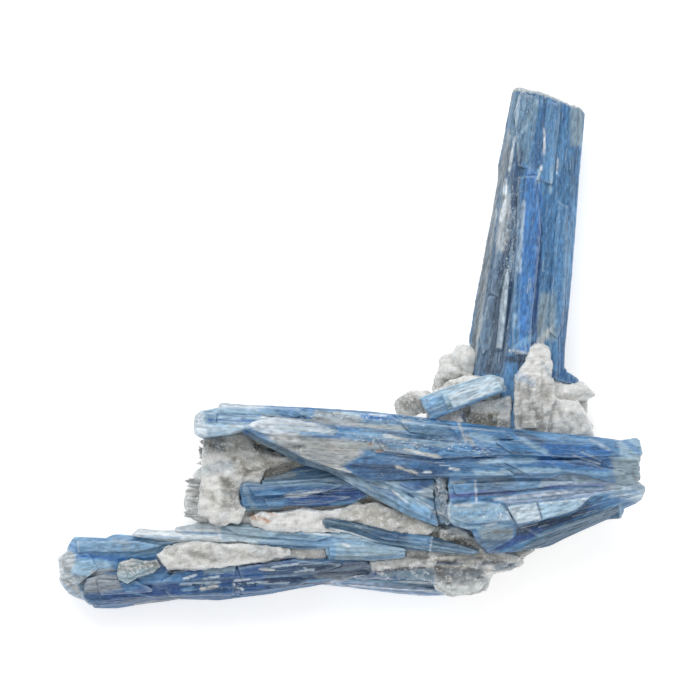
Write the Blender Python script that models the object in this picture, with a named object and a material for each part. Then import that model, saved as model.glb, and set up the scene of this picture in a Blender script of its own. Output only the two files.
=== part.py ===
"""A kyanite specimen: blades grown together with quartz, lying on its side.

Plan outlines are in millimetres about the middle of the specimen's face, X to the right and Y up the
face. Heights are in millimetres above the surface that it rests on. The finished solids are in metres.
"""

import random

import bmesh
import bpy
import numpy as np
from mathutils import Vector

# Driving dimensions, in millimetres
GAP = 0.3             # left between two pieces that touch
UPPER_TOP = 28.0      # the highest faces, on the upper sheaf
UPPER_UNDER = 18.5    # where the upper sheaf lies on what is below it
FAN_TOP = 26.5        # the fan's ridge
FOOT_TOP = 22.5       # the quartz block at the foot of the tall blade
TALL_TOP = 20.5       # the tall blade's ridge at its foot
TALL_DROP = 5.0       # how much lower the tall blade lies at its free end
MIDDLE_TOP = 21.5     # the deep blue blade in the middle
PALE_TOP = 19.0       # the pale lath below it
LOWER_TOP = 17.0      # the long lower blade's ridge
LEFT_TOP = 15.5       # the left blade
BOTTOM_TOP = 10.5     # the strip along the lower edge
MATRIX_TOP = 16.0     # the quartz between the blades, before its crust
MASS_UNDER = 4.6      # the quartz mass, apart from the flat that the specimen rests on

MM = 0.001
SIDE_TAPER = 0.16     # how much narrower a bundle is underneath
PLATE_TAPER = 0.08    # how much smaller a plate is underneath
MERGE = 1e-4          # points closer than this become one where a shape is sliced
SHALLOW_CUT = 0.75    # how far from the middle of a lump its flat sides lie, in its radius
DEEP_CUT = 0.5
CHUNK_CUTS = 6        # flat sides on each lump
LONGEST_MITRE = 4.0   # how far a sharp corner may be moved to keep the gap, as a multiple of it
QUARTZ_SEED = 11


class Run:
    """How a bundle lies: its left and right side lines, each from the root to the tip."""

    def __init__(self, left, right):
        self.left = [Vector(point) for point in left]
        self.right = [Vector(point) for point in right]
        self.root = (self.left[0] + self.right[0]) / 2
        self.axis = (self.left[1] + self.right[1]) / 2 - self.root

    def sides(self, along):
        return self.left[0].lerp(self.left[1], along), self.right[0].lerp(self.right[1], along)

    def place(self, point):
        """Where a point is across (0 at the left line, 1 at the right) and along (0 root, 1 tip)."""
        along = (point - self.root).dot(self.axis) / self.axis.length_squared
        left, right = self.sides(along)
        width = right - left
        return (point - left).dot(width) / width.length_squared, along


def level(profile, across, along):
    """Height on a cross-section of (across, height at the root, height at the tip)."""
    across = min(max(across, profile[0][0]), profile[-1][0])
    for start, end in zip(profile, profile[1:]):
        if across <= end[0]:
            break
    share = (across - start[0]) / (end[0] - start[0])
    root = start[1] + (end[1] - start[1]) * share
    tip = start[2] + (end[2] - start[2]) * share
    return root + (tip - root) * along


def prism(outline):
    """A bmesh plate of the outline, one unit thick, with its concave faces cut into convex ones."""
    bm = bmesh.new()
    bm.faces.new([bm.verts.new((x, y, 0.0)) for x, y in outline])
    raised = bmesh.ops.extrude_face_region(bm, geom=bm.faces[:])["geom"]
    for vert in raised:
        if isinstance(vert, bmesh.types.BMVert):
            vert.co.z = 1.0
    bmesh.ops.recalc_face_normals(bm, faces=bm.faces[:])
    bmesh.ops.connect_verts_concave(bm, faces=bm.faces[:])
    return bm


def mesh_of(bm):
    bmesh.ops.recalc_face_normals(bm, faces=bm.faces[:])
    bmesh.ops.triangulate(bm, faces=bm.faces[:])
    mesh = bpy.data.meshes.new("solid")
    bm.to_mesh(mesh)
    bm.free()
    return mesh


def bundle(outline, run, top, under, taper=SIDE_TAPER):
    """A sheaf of laths: the outline, with ridges that run from root to tip."""
    bm = prism(outline)
    for across, *_ in top[1:-1]:
        root = run.left[0].lerp(run.right[0], across)
        line = run.left[1].lerp(run.right[1], across) - root
        bmesh.ops.bisect_plane(
            bm,
            geom=bm.verts[:] + bm.edges[:] + bm.faces[:],
            dist=MERGE,
            plane_co=root.to_3d(),
            plane_no=(line.y, -line.x, 0.0),
        )
    for vert in bm.verts:
        across, along = run.place(vert.co.to_2d())
        if vert.co.z > 0.5:
            vert.co.z = level(top, across, along)
            continue
        left, right = run.sides(along)
        inward = (left + right) / 2 - left.lerp(right, across)
        vert.co.x += inward.x * taper
        vert.co.y += inward.y * taper
        vert.co.z = level(under, across, along)
    return mesh_of(bm)


def lath(outline, run, top, rise, depth=3.0):
    """One flat lath on a bundle, standing proud of the bundle's ridges by its rise."""
    bm = prism(outline)
    middle = sum((Vector(point) for point in outline), Vector((0.0, 0.0))) / len(outline)
    across, _ = run.place(middle)
    for vert in bm.verts:
        _, along = run.place(vert.co.to_2d())
        surface = level(top, across, along) + rise
        vert.co.z = surface if vert.co.z > 0.5 else surface - depth
    return mesh_of(bm)


def plate(outline, low, high, lean=(0.0, 0.0)):
    """A slab of the outline, its upper side leaning by lean (rise per millimetre of X and of Y)."""
    bm = prism(outline)
    middle = sum((Vector(point) for point in outline), Vector((0.0, 0.0))) / len(outline)
    for vert in bm.verts:
        offset = vert.co.to_2d() - middle
        if vert.co.z > 0.5:
            vert.co.z = high + offset.dot(Vector(lean))
        else:
            vert.co.z = low
            vert.co.x -= offset.x * PLATE_TAPER
            vert.co.y -= offset.y * PLATE_TAPER
    return mesh_of(bm)


def chunk(rng, middle, size):
    """One broken lump of quartz: a ball cut flat on several sides."""
    bm = bmesh.new()
    bmesh.ops.create_icosphere(bm, subdivisions=1, radius=1.0)
    for _ in range(CHUNK_CUTS):
        normal = Vector((rng.gauss(0, 1), rng.gauss(0, 1), rng.gauss(0, 1))).normalized()
        cut = bmesh.ops.bisect_plane(
            bm,
            geom=bm.verts[:] + bm.edges[:] + bm.faces[:],
            dist=MERGE,
            plane_co=normal * rng.uniform(DEEP_CUT, SHALLOW_CUT),
            plane_no=normal,
            clear_outer=True,
        )["geom_cut"]
        edges = [item for item in cut if isinstance(item, bmesh.types.BMEdge)]
        bmesh.ops.holes_fill(bm, edges=edges)
    turn = rng.uniform(-0.5, 0.5)
    for vert in bm.verts:
        x, y, z = vert.co
        vert.co = (
            middle[0] + (x - y * turn) * size[0],
            middle[1] + (y + x * turn) * size[1],
            middle[2] + z * size[2],
        )
    return mesh_of(bm)


def boolean(mesh, others, operation):
    """The mesh joined with the others, or cut by them."""
    body = bpy.data.objects.new("body", mesh)
    helpers.objects.link(body)
    operands = bpy.data.collections.new("operands")
    helpers.children.link(operands)
    for other in others:
        operands.objects.link(bpy.data.objects.new("operand", other))
    modifier = body.modifiers.new("Boolean", "BOOLEAN")
    modifier.solver = "EXACT"
    modifier.operand_type = "COLLECTION"
    modifier.collection = operands
    modifier.operation = operation
    depsgraph = bpy.context.evaluated_depsgraph_get()
    result = bpy.data.meshes.new_from_object(body.evaluated_get(depsgraph))
    for helper in [body, *operands.objects]:
        bpy.data.objects.remove(helper)
    bpy.data.collections.remove(operands)
    return result


def largest(mesh):
    """The mesh without the crumbs that a cut leaves."""
    bm = bmesh.new()
    bm.from_mesh(mesh)
    left = set(bm.verts)
    islands = []
    while left:
        island = {left.pop()}
        edge = list(island)
        while edge:
            for link in edge.pop().link_edges:
                for vert in link.verts:
                    if vert in left:
                        left.remove(vert)
                        island.add(vert)
                        edge.append(vert)
        islands.append(island)
    kept = max(islands, key=len)
    crumbs = [vert for island in islands if island is not kept for vert in island]
    bmesh.ops.delete(bm, geom=crumbs, context="VERTS")
    bmesh.ops.triangulate(bm, faces=bm.faces[:])
    bm.to_mesh(mesh)
    bm.free()
    return mesh


def grown(mesh):
    """A copy of a shape that stands out by the gap on every side, to cut a neighbour with."""
    copy = mesh.copy()
    bm = bmesh.new()
    bm.from_mesh(copy)
    bm.normal_update()
    moves = []
    for vert in bm.verts:
        normals = np.array([face.normal[:] for face in vert.link_faces])
        move = Vector(np.linalg.lstsq(normals, np.full(len(normals), GAP), rcond=0.05)[0])
        move.length = min(max(move.length, GAP), LONGEST_MITRE * GAP)
        moves.append(move)
    for vert, move in zip(bm.verts, moves):
        vert.co += move
    bm.to_mesh(copy)
    bm.free()
    return copy


def reach(mesh):
    """The lowest and highest corners of a mesh."""
    corners = [vert.co for vert in mesh.vertices]
    low = Vector([min(corner[axis] for corner in corners) for axis in range(3)])
    high = Vector([max(corner[axis] for corner in corners) for axis in range(3)])
    return low, high


def near(mesh, other):
    """Whether the boxes around two meshes meet."""
    low, high = reach(mesh)
    other_low, other_high = reach(other)
    return all(low[axis] < other_high[axis] and other_low[axis] < high[axis] for axis in range(3))


def finish_of(name, colour, roughness, transmission=0.0):
    material = bpy.data.materials.new(name)
    material.use_nodes = True
    shader = material.node_tree.nodes["Principled BSDF"]
    shader.inputs["Base Color"].default_value = (*colour, 1.0)
    shader.inputs["Roughness"].default_value = roughness
    shader.inputs["Metallic"].default_value = 0.0
    shader.inputs["Transmission Weight"].default_value = transmission
    return material


def tall_blade():
    outline = [
        (38.0, 59.9), (38.5, 60.9), (44.5, 59.6), (49.5, 57.7), (54.0, 55.9), (54.7, 55.1),
        (54.2, 50.0), (53.3, 40.0), (52.2, 25.0), (51.2, 11.5), (50.1, 0.0), (49.9, -4.6),
        (53.4, -7.5), (52.5, -8.7), (47.0, -7.2), (45.0, -14.0), (38.3, -18.8), (35.0, -18.5),
        (35.4, -7.2), (29.0, -6.7), (28.5, -1.0), (27.8, 1.5), (29.2, 10.0), (31.8, 23.5),
        (33.5, 32.0), (34.6, 39.1), (34.7, 42.5), (36.5, 52.0),
    ]
    run = Run(left=[(28.0, -6.0), (37.6, 60.0)], right=[(50.2, -6.0), (54.8, 57.0)])
    foot = TALL_TOP
    tip = TALL_TOP - TALL_DROP
    top = [
        (0.0, foot - 6.5, tip - 5.5), (0.08, foot - 4.5, tip - 3.5), (0.33, foot - 1.6, tip - 1.5),
        (0.36, foot, tip), (0.56, foot + 0.3, tip + 0.2), (0.60, foot - 0.9, tip - 0.8),
        (0.90, foot - 1.8, tip - 1.4), (1.0, foot - 4.5, tip - 3.5),
    ]
    under = [(0.0, 11.5, 6.5), (0.3, 9.0, 3.6), (0.7, 9.0, 3.4), (1.0, 11.5, 6.0)]
    laths = [
        ([(39.5, 42.6), (43.8, 41.7), (45.3, 48.0), (45.6, 57.6), (40.0, 59.7), (38.6, 55.0)], 1.1),
        ([(43.8, 39.5), (47.0, 38.5), (48.4, 50.0), (49.0, 57.2), (46.2, 57.6), (45.3, 48.0)], 0.9),
        ([(39.5, 39.8), (43.3, 40.2), (44.5, 28.0), (43.8, 20.0), (42.3, 7.0), (41.9, -1.4),
          (38.0, -0.7), (37.9, 5.0), (39.0, 22.0)], 0.7),
        ([(48.7, 34.0), (50.6, 33.0), (49.6, 6.0), (48.2, 2.5), (46.5, 4.0), (47.4, 20.0)], 0.8),
        ([(36.7, 18.4), (36.9, 16.0), (35.8, 3.0), (35.2, -0.5), (34.2, -0.5), (35.2, 10.0)], 0.9),
        ([(35.6, 31.0), (37.2, 36.0), (38.6, 36.0), (36.9, 20.0), (34.6, 12.0), (33.0, 13.0)], 0.7),
        ([(32.6, 12.0), (34.0, 12.0), (33.0, 1.0), (31.0, -1.5), (30.4, 3.0)], 0.8),
    ]
    return [bundle(outline, run, top, under)] + [lath(shape, run, top, rise) for shape, rise in laths]


def cross_blade():
    outline = [
        (16.4, -11.9), (22.0, -9.6), (28.0, -7.8), (32.5, -6.3), (35.5, -7.2), (36.2, -9.8),
        (30.0, -12.2), (25.0, -14.2), (20.0, -16.2), (18.7, -16.3), (17.5, -14.0),
    ]
    run = Run(left=[(16.4, -11.7), (34.7, -5.6)], right=[(18.4, -17.0), (36.6, -9.9)])
    top = [
        (0.0, 23.5, 25.5), (0.22, 25.6, 27.2), (0.26, 26.2, 28.0), (0.62, 26.4, 28.0),
        (0.67, 25.6, 27.4), (1.0, 24.6, 26.6),
    ]
    under = [(0.0, 21.5, 23.5), (0.5, 20.5, 22.3), (1.0, 22.0, 24.0)]
    laths = [
        ([(22.9, -11.6), (33.5, -8.0), (35.2, -8.8), (35.6, -9.6), (24.2, -13.9)], 0.5),
        ([(18.0, -12.0), (21.2, -10.8), (22.0, -12.6), (18.6, -14.0)], 0.4),
    ]
    return [bundle(outline, run, top, under)] + [lath(shape, run, top, rise, 2.5) for shape, rise in laths]


def upper_blade():
    outline = [
        (-36.2, -19.8), (-36.0, -16.0), (-35.0, -15.0), (-31.5, -14.1), (-29.8, -13.0), (-22.0, -13.5),
        (-9.0, -14.1), (5.0, -15.0), (18.5, -16.5), (35.0, -18.5), (45.0, -19.7), (56.5, -20.8),
        (63.0, -21.6), (67.3, -21.1), (68.0, -24.0), (67.2, -27.0), (67.5, -31.0), (64.0, -31.8),
        (60.0, -30.8), (54.0, -29.2), (50.0, -28.9), (46.7, -30.2), (24.0, -30.0), (16.0, -30.2),
        (4.0, -30.8), (0.0, -29.0), (-6.0, -27.0), (-10.3, -25.6), (-15.5, -23.0), (-20.5, -20.8),
        (-24.2, -18.4), (-28.0, -19.7), (-31.0, -20.2), (-34.5, -20.6),
    ]
    run = Run(left=[(-36.0, -12.8), (69.0, -21.3)], right=[(-36.0, -31.0), (69.0, -32.0)])
    ridge = UPPER_TOP
    top = [
        (0.0, ridge - 4.5, ridge - 2.5), (0.10, ridge - 2.0, ridge - 1.0), (0.24, ridge - 1.0, ridge - 0.3),
        (0.27, ridge, ridge + 0.3), (0.46, ridge + 0.4, ridge + 0.6), (0.49, ridge - 0.6, ridge - 0.2),
        (0.70, ridge + 0.3, ridge), (0.73, ridge - 0.8, ridge - 0.7), (0.90, ridge - 1.6, ridge - 1.3),
        (1.0, ridge - 3.6, ridge - 2.8),
    ]
    low = UPPER_UNDER
    under = [(0.0, low + 2.0, low + 2.0), (0.35, low, low), (0.75, low, low + 1.0), (1.0, low + 2.0, low + 2.5)]
    laths = [
        ([(-24.2, -18.5), (-22.5, -17.2), (-17.0, -16.1), (-4.0, -17.5), (-3.0, -20.5), (-16.0, -20.8)], 1.3),
        ([(-30.0, -13.8), (-12.0, -14.3), (-10.0, -15.8), (-31.0, -16.2)], 1.2),
        ([(-4.0, -14.9), (9.0, -15.6), (12.0, -17.4), (4.0, -18.4), (-3.0, -17.2)], 1.0),
        ([(12.0, -17.2), (36.0, -19.4), (38.0, -21.0), (26.0, -21.2), (14.0, -19.4)], 1.1),
        ([(-10.0, -21.6), (2.0, -21.8), (6.0, -24.8), (-4.0, -26.6), (-12.0, -24.0)], 0.6),
        ([(6.0, -20.6), (30.0, -22.6), (34.0, -24.8), (20.0, -25.4), (8.0, -23.8)], 0.8),
        ([(12.0, -26.8), (34.0, -27.0), (38.0, -29.4), (16.0, -29.6)], 0.9),
        ([(34.0, -21.8), (58.0, -22.4), (64.0, -24.8), (52.0, -25.4), (38.0, -24.6)], 0.9),
        ([(36.0, -26.4), (54.0, -26.2), (64.0, -29.2), (58.0, -29.6), (50.0, -28.6), (42.0, -29.4)], 0.8),
        ([(-34.6, -15.4), (-31.2, -15.2), (-31.6, -19.6), (-35.2, -19.6)], 0.7),
    ]
    return [bundle(outline, run, top, under)] + [lath(shape, run, top, rise) for shape, rise in laths]


def slant_blade():
    edge = [
        (-26.3, -18.9), (-24.6, -18.6), (-20.5, -19.8), (-15.0, -22.4), (-9.0, -25.2), (0.0, -28.4),
        (4.0, -29.6), (20.5, -29.6), (20.4, -30.6), (19.8, -33.0), (19.6, -37.3), (20.5, -41.3),
        (14.0, -39.0), (5.0, -34.4), (0.0, -31.3), (-5.0, -28.6), (-11.0, -27.0), (-15.0, -24.9),
        (-20.5, -22.1), (-25.0, -19.5),
    ]
    run = Run(left=[(-25.0, -16.5), (26.0, -33.0)], right=[(-28.0, -20.6), (18.0, -43.8)])
    top = [
        (0.0, 25.0, 24.0), (0.30, 24.5, 24.0), (0.34, 24.0, 22.6), (0.55, 24.0, 23.0),
        (0.60, 23.5, 22.0), (1.0, 22.0, 20.0),
    ]
    under = [(0.0, 20.0, 16.0), (1.0, 19.0, 15.0)]
    laths = [
        ([(4.0, -31.4), (16.0, -35.4), (19.2, -38.0), (18.6, -39.6), (12.0, -36.6)], 0.6),
        ([(8.0, -31.0), (19.8, -30.9), (19.4, -33.6), (14.0, -33.4)], 0.5),
    ]
    return [bundle(edge, run, top, under, 0.05)] + [lath(shape, run, top, rise) for shape, rise in laths]


def middle_blade():
    outline = [
        (-25.5, -32.0), (-24.5, -31.3), (-20.3, -31.9), (-20.3, -30.5), (-16.0, -29.5), (-12.0, -28.0),
        (-8.0, -27.4), (-2.0, -28.4), (3.0, -31.0), (5.0, -34.0), (0.0, -36.4), (-9.0, -36.9),
        (-14.0, -36.1), (-17.5, -37.8), (-24.5, -37.9), (-25.3, -37.3),
    ]
    run = Run(left=[(-26.0, -30.0), (6.0, -27.5)], right=[(-26.0, -38.2), (6.0, -37.0)])
    ridge = MIDDLE_TOP
    top = [
        (0.0, ridge - 3.0, ridge - 1.5), (0.18, ridge - 1.0, ridge - 0.8), (0.22, ridge - 0.2, ridge),
        (0.48, ridge + 0.2, ridge + 0.2), (0.52, ridge - 0.8, ridge - 0.6), (0.80, ridge - 1.2, ridge - 1.0),
        (1.0, ridge - 3.6, ridge - 3.0),
    ]
    under = [(0.0, 14.5, 14.5), (0.5, 12.5, 12.5), (1.0, 14.5, 14.5)]
    laths = [
        ([(-23.5, -32.6), (-8.0, -31.2), (-2.0, -32.0), (-6.0, -33.4), (-22.0, -34.4)], 0.7),
        ([(-20.0, -35.2), (-8.0, -34.2), (0.0, -34.8), (-6.0, -36.2), (-19.0, -36.8)], 0.6),
    ]
    return [bundle(outline, run, top, under)] + [lath(shape, run, top, rise) for shape, rise in laths]


def pale_blade():
    outline = [
        (-50.8, -43.7), (-49.3, -42.4), (-44.0, -42.9), (-40.6, -42.8), (-40.5, -42.0), (-36.5, -41.3),
        (-30.5, -40.8), (-25.0, -41.2), (-20.5, -41.8), (-16.0, -42.8), (-10.0, -41.9), (-6.0, -42.2),
        (-1.0, -43.0), (4.0, -44.8), (6.5, -45.8), (13.0, -47.0), (12.5, -48.7), (5.0, -49.5),
        (-5.3, -49.4), (-5.5, -46.6), (-12.0, -46.6), (-18.0, -46.3), (-26.0, -44.8), (-31.0, -45.2),
        (-39.0, -45.3), (-44.0, -44.7),
    ]
    run = Run(left=[(-51.0, -40.5), (13.0, -42.5)], right=[(-51.0, -46.0), (13.0, -49.8)])
    ridge = PALE_TOP
    top = [
        (0.0, ridge - 3.5, ridge - 0.5), (0.30, ridge - 2.0, ridge), (0.34, ridge - 2.6, ridge - 0.5),
        (0.62, ridge - 2.2, ridge - 0.2), (0.66, ridge - 2.9, ridge - 1.0), (1.0, ridge - 4.0, ridge - 2.5),
    ]
    under = [(0.0, 11.0, 13.5), (0.5, 10.0, 12.5), (1.0, 11.0, 13.0)]
    laths = [
        ([(-29.0, -41.6), (-12.0, -42.8), (-4.0, -43.6), (-8.0, -44.8), (-26.0, -43.4)], 0.7),
        ([(-4.6, -44.4), (4.0, -46.2), (11.6, -47.6), (3.0, -48.4), (-4.8, -48.4)], 0.6),
    ]
    return [bundle(outline, run, top, under)] + [lath(shape, run, top, rise, 2.0) for shape, rise in laths]


def teal_lath():
    outline = [
        (-6.2, -40.2), (-3.5, -40.1), (0.0, -40.7), (5.0, -41.8), (12.0, -43.4), (18.5, -44.0),
        (24.0, -45.6), (30.0, -47.5), (28.0, -48.2), (24.0, -48.0), (18.9, -47.2), (13.0, -46.7),
        (7.0, -45.5), (4.0, -44.4), (0.0, -42.9), (-5.3, -41.9),
    ]
    run = Run(left=[(-7.0, -38.6), (31.0, -45.6)], right=[(-7.0, -42.6), (31.0, -50.2)])
    top = [(0.0, 18.0, 17.5), (0.30, 20.2, 19.0), (0.36, 20.6, 19.4), (0.62, 20.0, 18.6), (1.0, 18.0, 17.0)]
    under = [(0.0, 14.0, 13.0), (1.0, 14.0, 13.0)]
    laths = [([(1.0, -41.4), (12.0, -43.9), (18.0, -44.6), (18.0, -45.6), (8.0, -44.4)], 0.6)]
    return [bundle(outline, run, top, under)] + [lath(shape, run, top, rise, 2.0) for shape, rise in laths]


def left_blade():
    outline = [
        (-65.9, -46.5), (-64.6, -44.3), (-57.0, -44.6), (-54.9, -43.7), (-48.0, -44.3), (-44.0, -45.0),
        (-39.0, -45.5), (-41.0, -47.0), (-44.4, -48.6), (-45.8, -50.2), (-49.0, -51.6), (-53.0, -52.6),
        (-58.0, -54.6), (-60.5, -60.0), (-63.0, -58.6), (-65.5, -57.3), (-67.8, -54.5), (-67.5, -53.0),
        (-68.2, -49.3), (-66.0, -47.5),
    ]
    run = Run(left=[(-69.0, -43.6), (-38.0, -43.2)], right=[(-69.0, -57.0), (-38.0, -48.6)])
    ridge = LEFT_TOP
    top = [
        (0.0, ridge - 5.0, ridge - 1.5), (0.12, ridge - 2.4, ridge), (0.34, ridge - 1.4, ridge + 0.8),
        (0.38, ridge - 2.0, ridge + 0.2), (0.60, ridge - 2.0, ridge), (1.0, ridge - 4.5, ridge - 1.5),
    ]
    under = [(0.0, 4.5, 7.0), (0.5, 2.0, 5.0), (1.0, 3.5, 6.0)]
    laths = [
        ([(-64.0, -45.4), (-50.0, -45.2), (-44.0, -46.2), (-50.0, -47.4), (-63.5, -47.4)], 0.7),
        ([(-66.6, -48.6), (-61.0, -48.0), (-59.0, -51.6), (-64.0, -55.4), (-66.6, -53.6)], 0.8),
    ]
    return [bundle(outline, run, top, under)] + [lath(shape, run, top, rise, 2.0) for shape, rise in laths]


def long_lower_blade():
    outline = [
        (-60.5, -60.0), (-62.6, -57.8), (-61.6, -54.0), (-57.0, -52.6), (-52.0, -52.2), (-46.0, -50.6),
        (-45.6, -48.4), (-41.7, -51.4), (-37.5, -51.0), (-29.5, -50.1), (-20.0, -49.0), (-13.8, -47.8),
        (-11.0, -49.4), (-5.0, -49.4), (4.3, -50.0), (4.8, -52.0), (-2.0, -54.2), (-6.0, -54.9),
        (-12.0, -56.0), (-18.0, -57.2), (-24.0, -58.0), (-30.5, -58.8), (-40.0, -58.7), (-50.0, -60.0),
        (-56.0, -60.9), (-60.0, -60.7),
    ]
    run = Run(left=[(-64.0, -52.0), (6.0, -48.2)], right=[(-64.0, -61.4), (6.0, -54.4)])
    ridge = LOWER_TOP
    top = [
        (0.0, ridge - 4.0, ridge - 1.5), (0.16, ridge - 2.6, ridge - 0.5), (0.46, ridge - 1.8, ridge + 0.3),
        (0.50, ridge - 2.6, ridge - 0.4), (0.78, ridge - 4.2, ridge - 1.6), (0.83, ridge - 5.2, ridge - 2.4),
        (1.0, ridge - 9.0, ridge - 6.0),
    ]
    under = [(0.0, 4.0, 6.0), (0.5, 2.0, 5.0), (1.0, 3.5, 7.0)]
    laths = [
        ([(-45.4, -49.2), (-42.2, -51.8), (-44.4, -54.0), (-51.0, -53.6), (-49.0, -52.0)], 1.0),
        ([(-40.0, -52.0), (-26.8, -50.8), (-27.0, -53.4), (-44.0, -54.6)], 0.7),
        ([(-26.0, -51.2), (-13.0, -49.6), (-2.0, -50.6), (-8.0, -52.4), (-25.0, -54.0)], 0.9),
        ([(-44.0, -55.6), (-27.0, -54.8), (-27.2, -57.4), (-42.0, -57.8)], 0.6),
        ([(-26.0, -54.9), (-8.0, -53.2), (-12.0, -55.2), (-25.0, -57.2)], 0.6),
        ([(-59.0, -54.2), (-50.0, -54.4), (-46.0, -56.6), (-58.0, -57.4)], 0.7),
    ]
    return [bundle(outline, run, top, under)] + [lath(shape, run, top, rise) for shape, rise in laths]


def bottom_blade():
    outline = [
        (-8.0, -54.4), (-2.0, -53.4), (4.5, -50.2), (8.0, -49.8), (13.0, -49.4), (16.8, -49.7),
        (20.0, -51.4), (23.0, -53.0), (23.2, -57.5), (18.0, -57.8), (10.0, -57.1), (0.0, -55.8),
        (-6.0, -55.1),
    ]
    run = Run(left=[(-8.0, -49.6), (24.0, -49.6)], right=[(-8.0, -56.6), (24.0, -58.0)])
    ridge = BOTTOM_TOP
    top = [
        (0.0, ridge + 4.0, ridge + 3.0), (0.22, ridge + 3.4, ridge + 2.4), (0.26, ridge + 1.5, ridge + 0.8),
        (0.62, ridge, ridge), (0.66, ridge - 1.2, ridge - 1.0), (1.0, ridge - 5.5, ridge - 4.5),
    ]
    under = [(0.0, 4.0, 4.0), (0.5, 2.5, 2.5), (1.0, 3.0, 3.0)]
    laths = [
        ([(4.8, -50.3), (13.0, -49.8), (16.6, -49.9), (14.0, -51.0), (6.0, -51.5)], 0.9),
        ([(0.0, -54.4), (10.0, -54.8), (21.0, -56.8), (10.0, -56.2), (-3.0, -54.9)], 0.5),
    ]
    return [bundle(outline, run, top, under)] + [lath(shape, run, top, rise, 2.5) for shape, rise in laths]


def fan_blade():
    outline = [
        (22.8, -29.4), (46.7, -28.8), (60.0, -29.6), (67.5, -31.5), (68.8, -32.5), (68.0, -35.1),
        (66.5, -36.2), (63.8, -37.3), (63.2, -39.6), (60.0, -39.8), (55.0, -42.0), (50.0, -44.3),
        (47.0, -45.9), (44.5, -46.5), (38.0, -47.3), (32.0, -47.7), (30.0, -45.5), (28.0, -42.2),
        (24.5, -41.3), (22.5, -39.5), (22.7, -37.0), (23.0, -34.5),
    ]
    run = Run(left=[(23.0, -29.4), (70.5, -30.6)], right=[(36.0, -51.5), (69.8, -35.2)])
    ridge = FAN_TOP
    top = [
        (0.0, ridge - 1.0, ridge - 1.5), (0.16, ridge, ridge - 1.0), (0.20, ridge - 1.2, ridge - 1.6),
        (0.38, ridge - 0.8, ridge - 1.6), (0.42, ridge - 2.0, ridge - 2.4), (0.62, ridge - 2.6, ridge - 3.0),
        (0.66, ridge - 4.6, ridge - 4.0), (0.84, ridge - 7.0, ridge - 6.0), (1.0, ridge - 13.0, ridge - 9.0),
    ]
    under = [(0.0, 15.0, 19.0), (0.5, 11.0, 16.5), (1.0, 7.5, 14.0)]
    laths = [
        ([(36.9, -37.2), (38.0, -36.5), (50.0, -35.3), (56.0, -34.5), (52.5, -37.6), (46.0, -39.4),
          (43.0, -40.6), (39.0, -40.8)], 1.6),
        ([(24.0, -37.6), (34.0, -36.2), (36.8, -38.0), (37.6, -40.0), (28.0, -40.8), (23.8, -39.6)], 0.8),
        ([(24.0, -31.8), (40.0, -31.2), (52.0, -31.2), (40.0, -33.0), (24.6, -34.0)], 0.9),
        ([(40.0, -41.4), (50.0, -38.6), (60.0, -35.6), (66.0, -34.2), (58.0, -38.8), (44.0, -43.8)], 0.9),
    ]
    return [bundle(outline, run, top, under, 0.08)] + [lath(shape, run, top, rise) for shape, rise in laths]


def quartz_flake():
    outline = [
        (-53.7, -50.2), (-51.0, -49.2), (-48.2, -49.9), (-45.2, -49.6), (-44.4, -50.9), (-46.0, -52.2),
        (-50.0, -53.6), (-52.0, -55.0), (-54.0, -54.0), (-54.3, -52.5),
    ]
    return [
        plate(outline, 12.5, 17.3, (0.05, 0.03)),
        plate([(-52.6, -50.4), (-49.0, -50.2), (-47.0, -51.6), (-51.6, -53.4)], 14.0, 18.0, (0.04, 0.0)),
    ]


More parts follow.
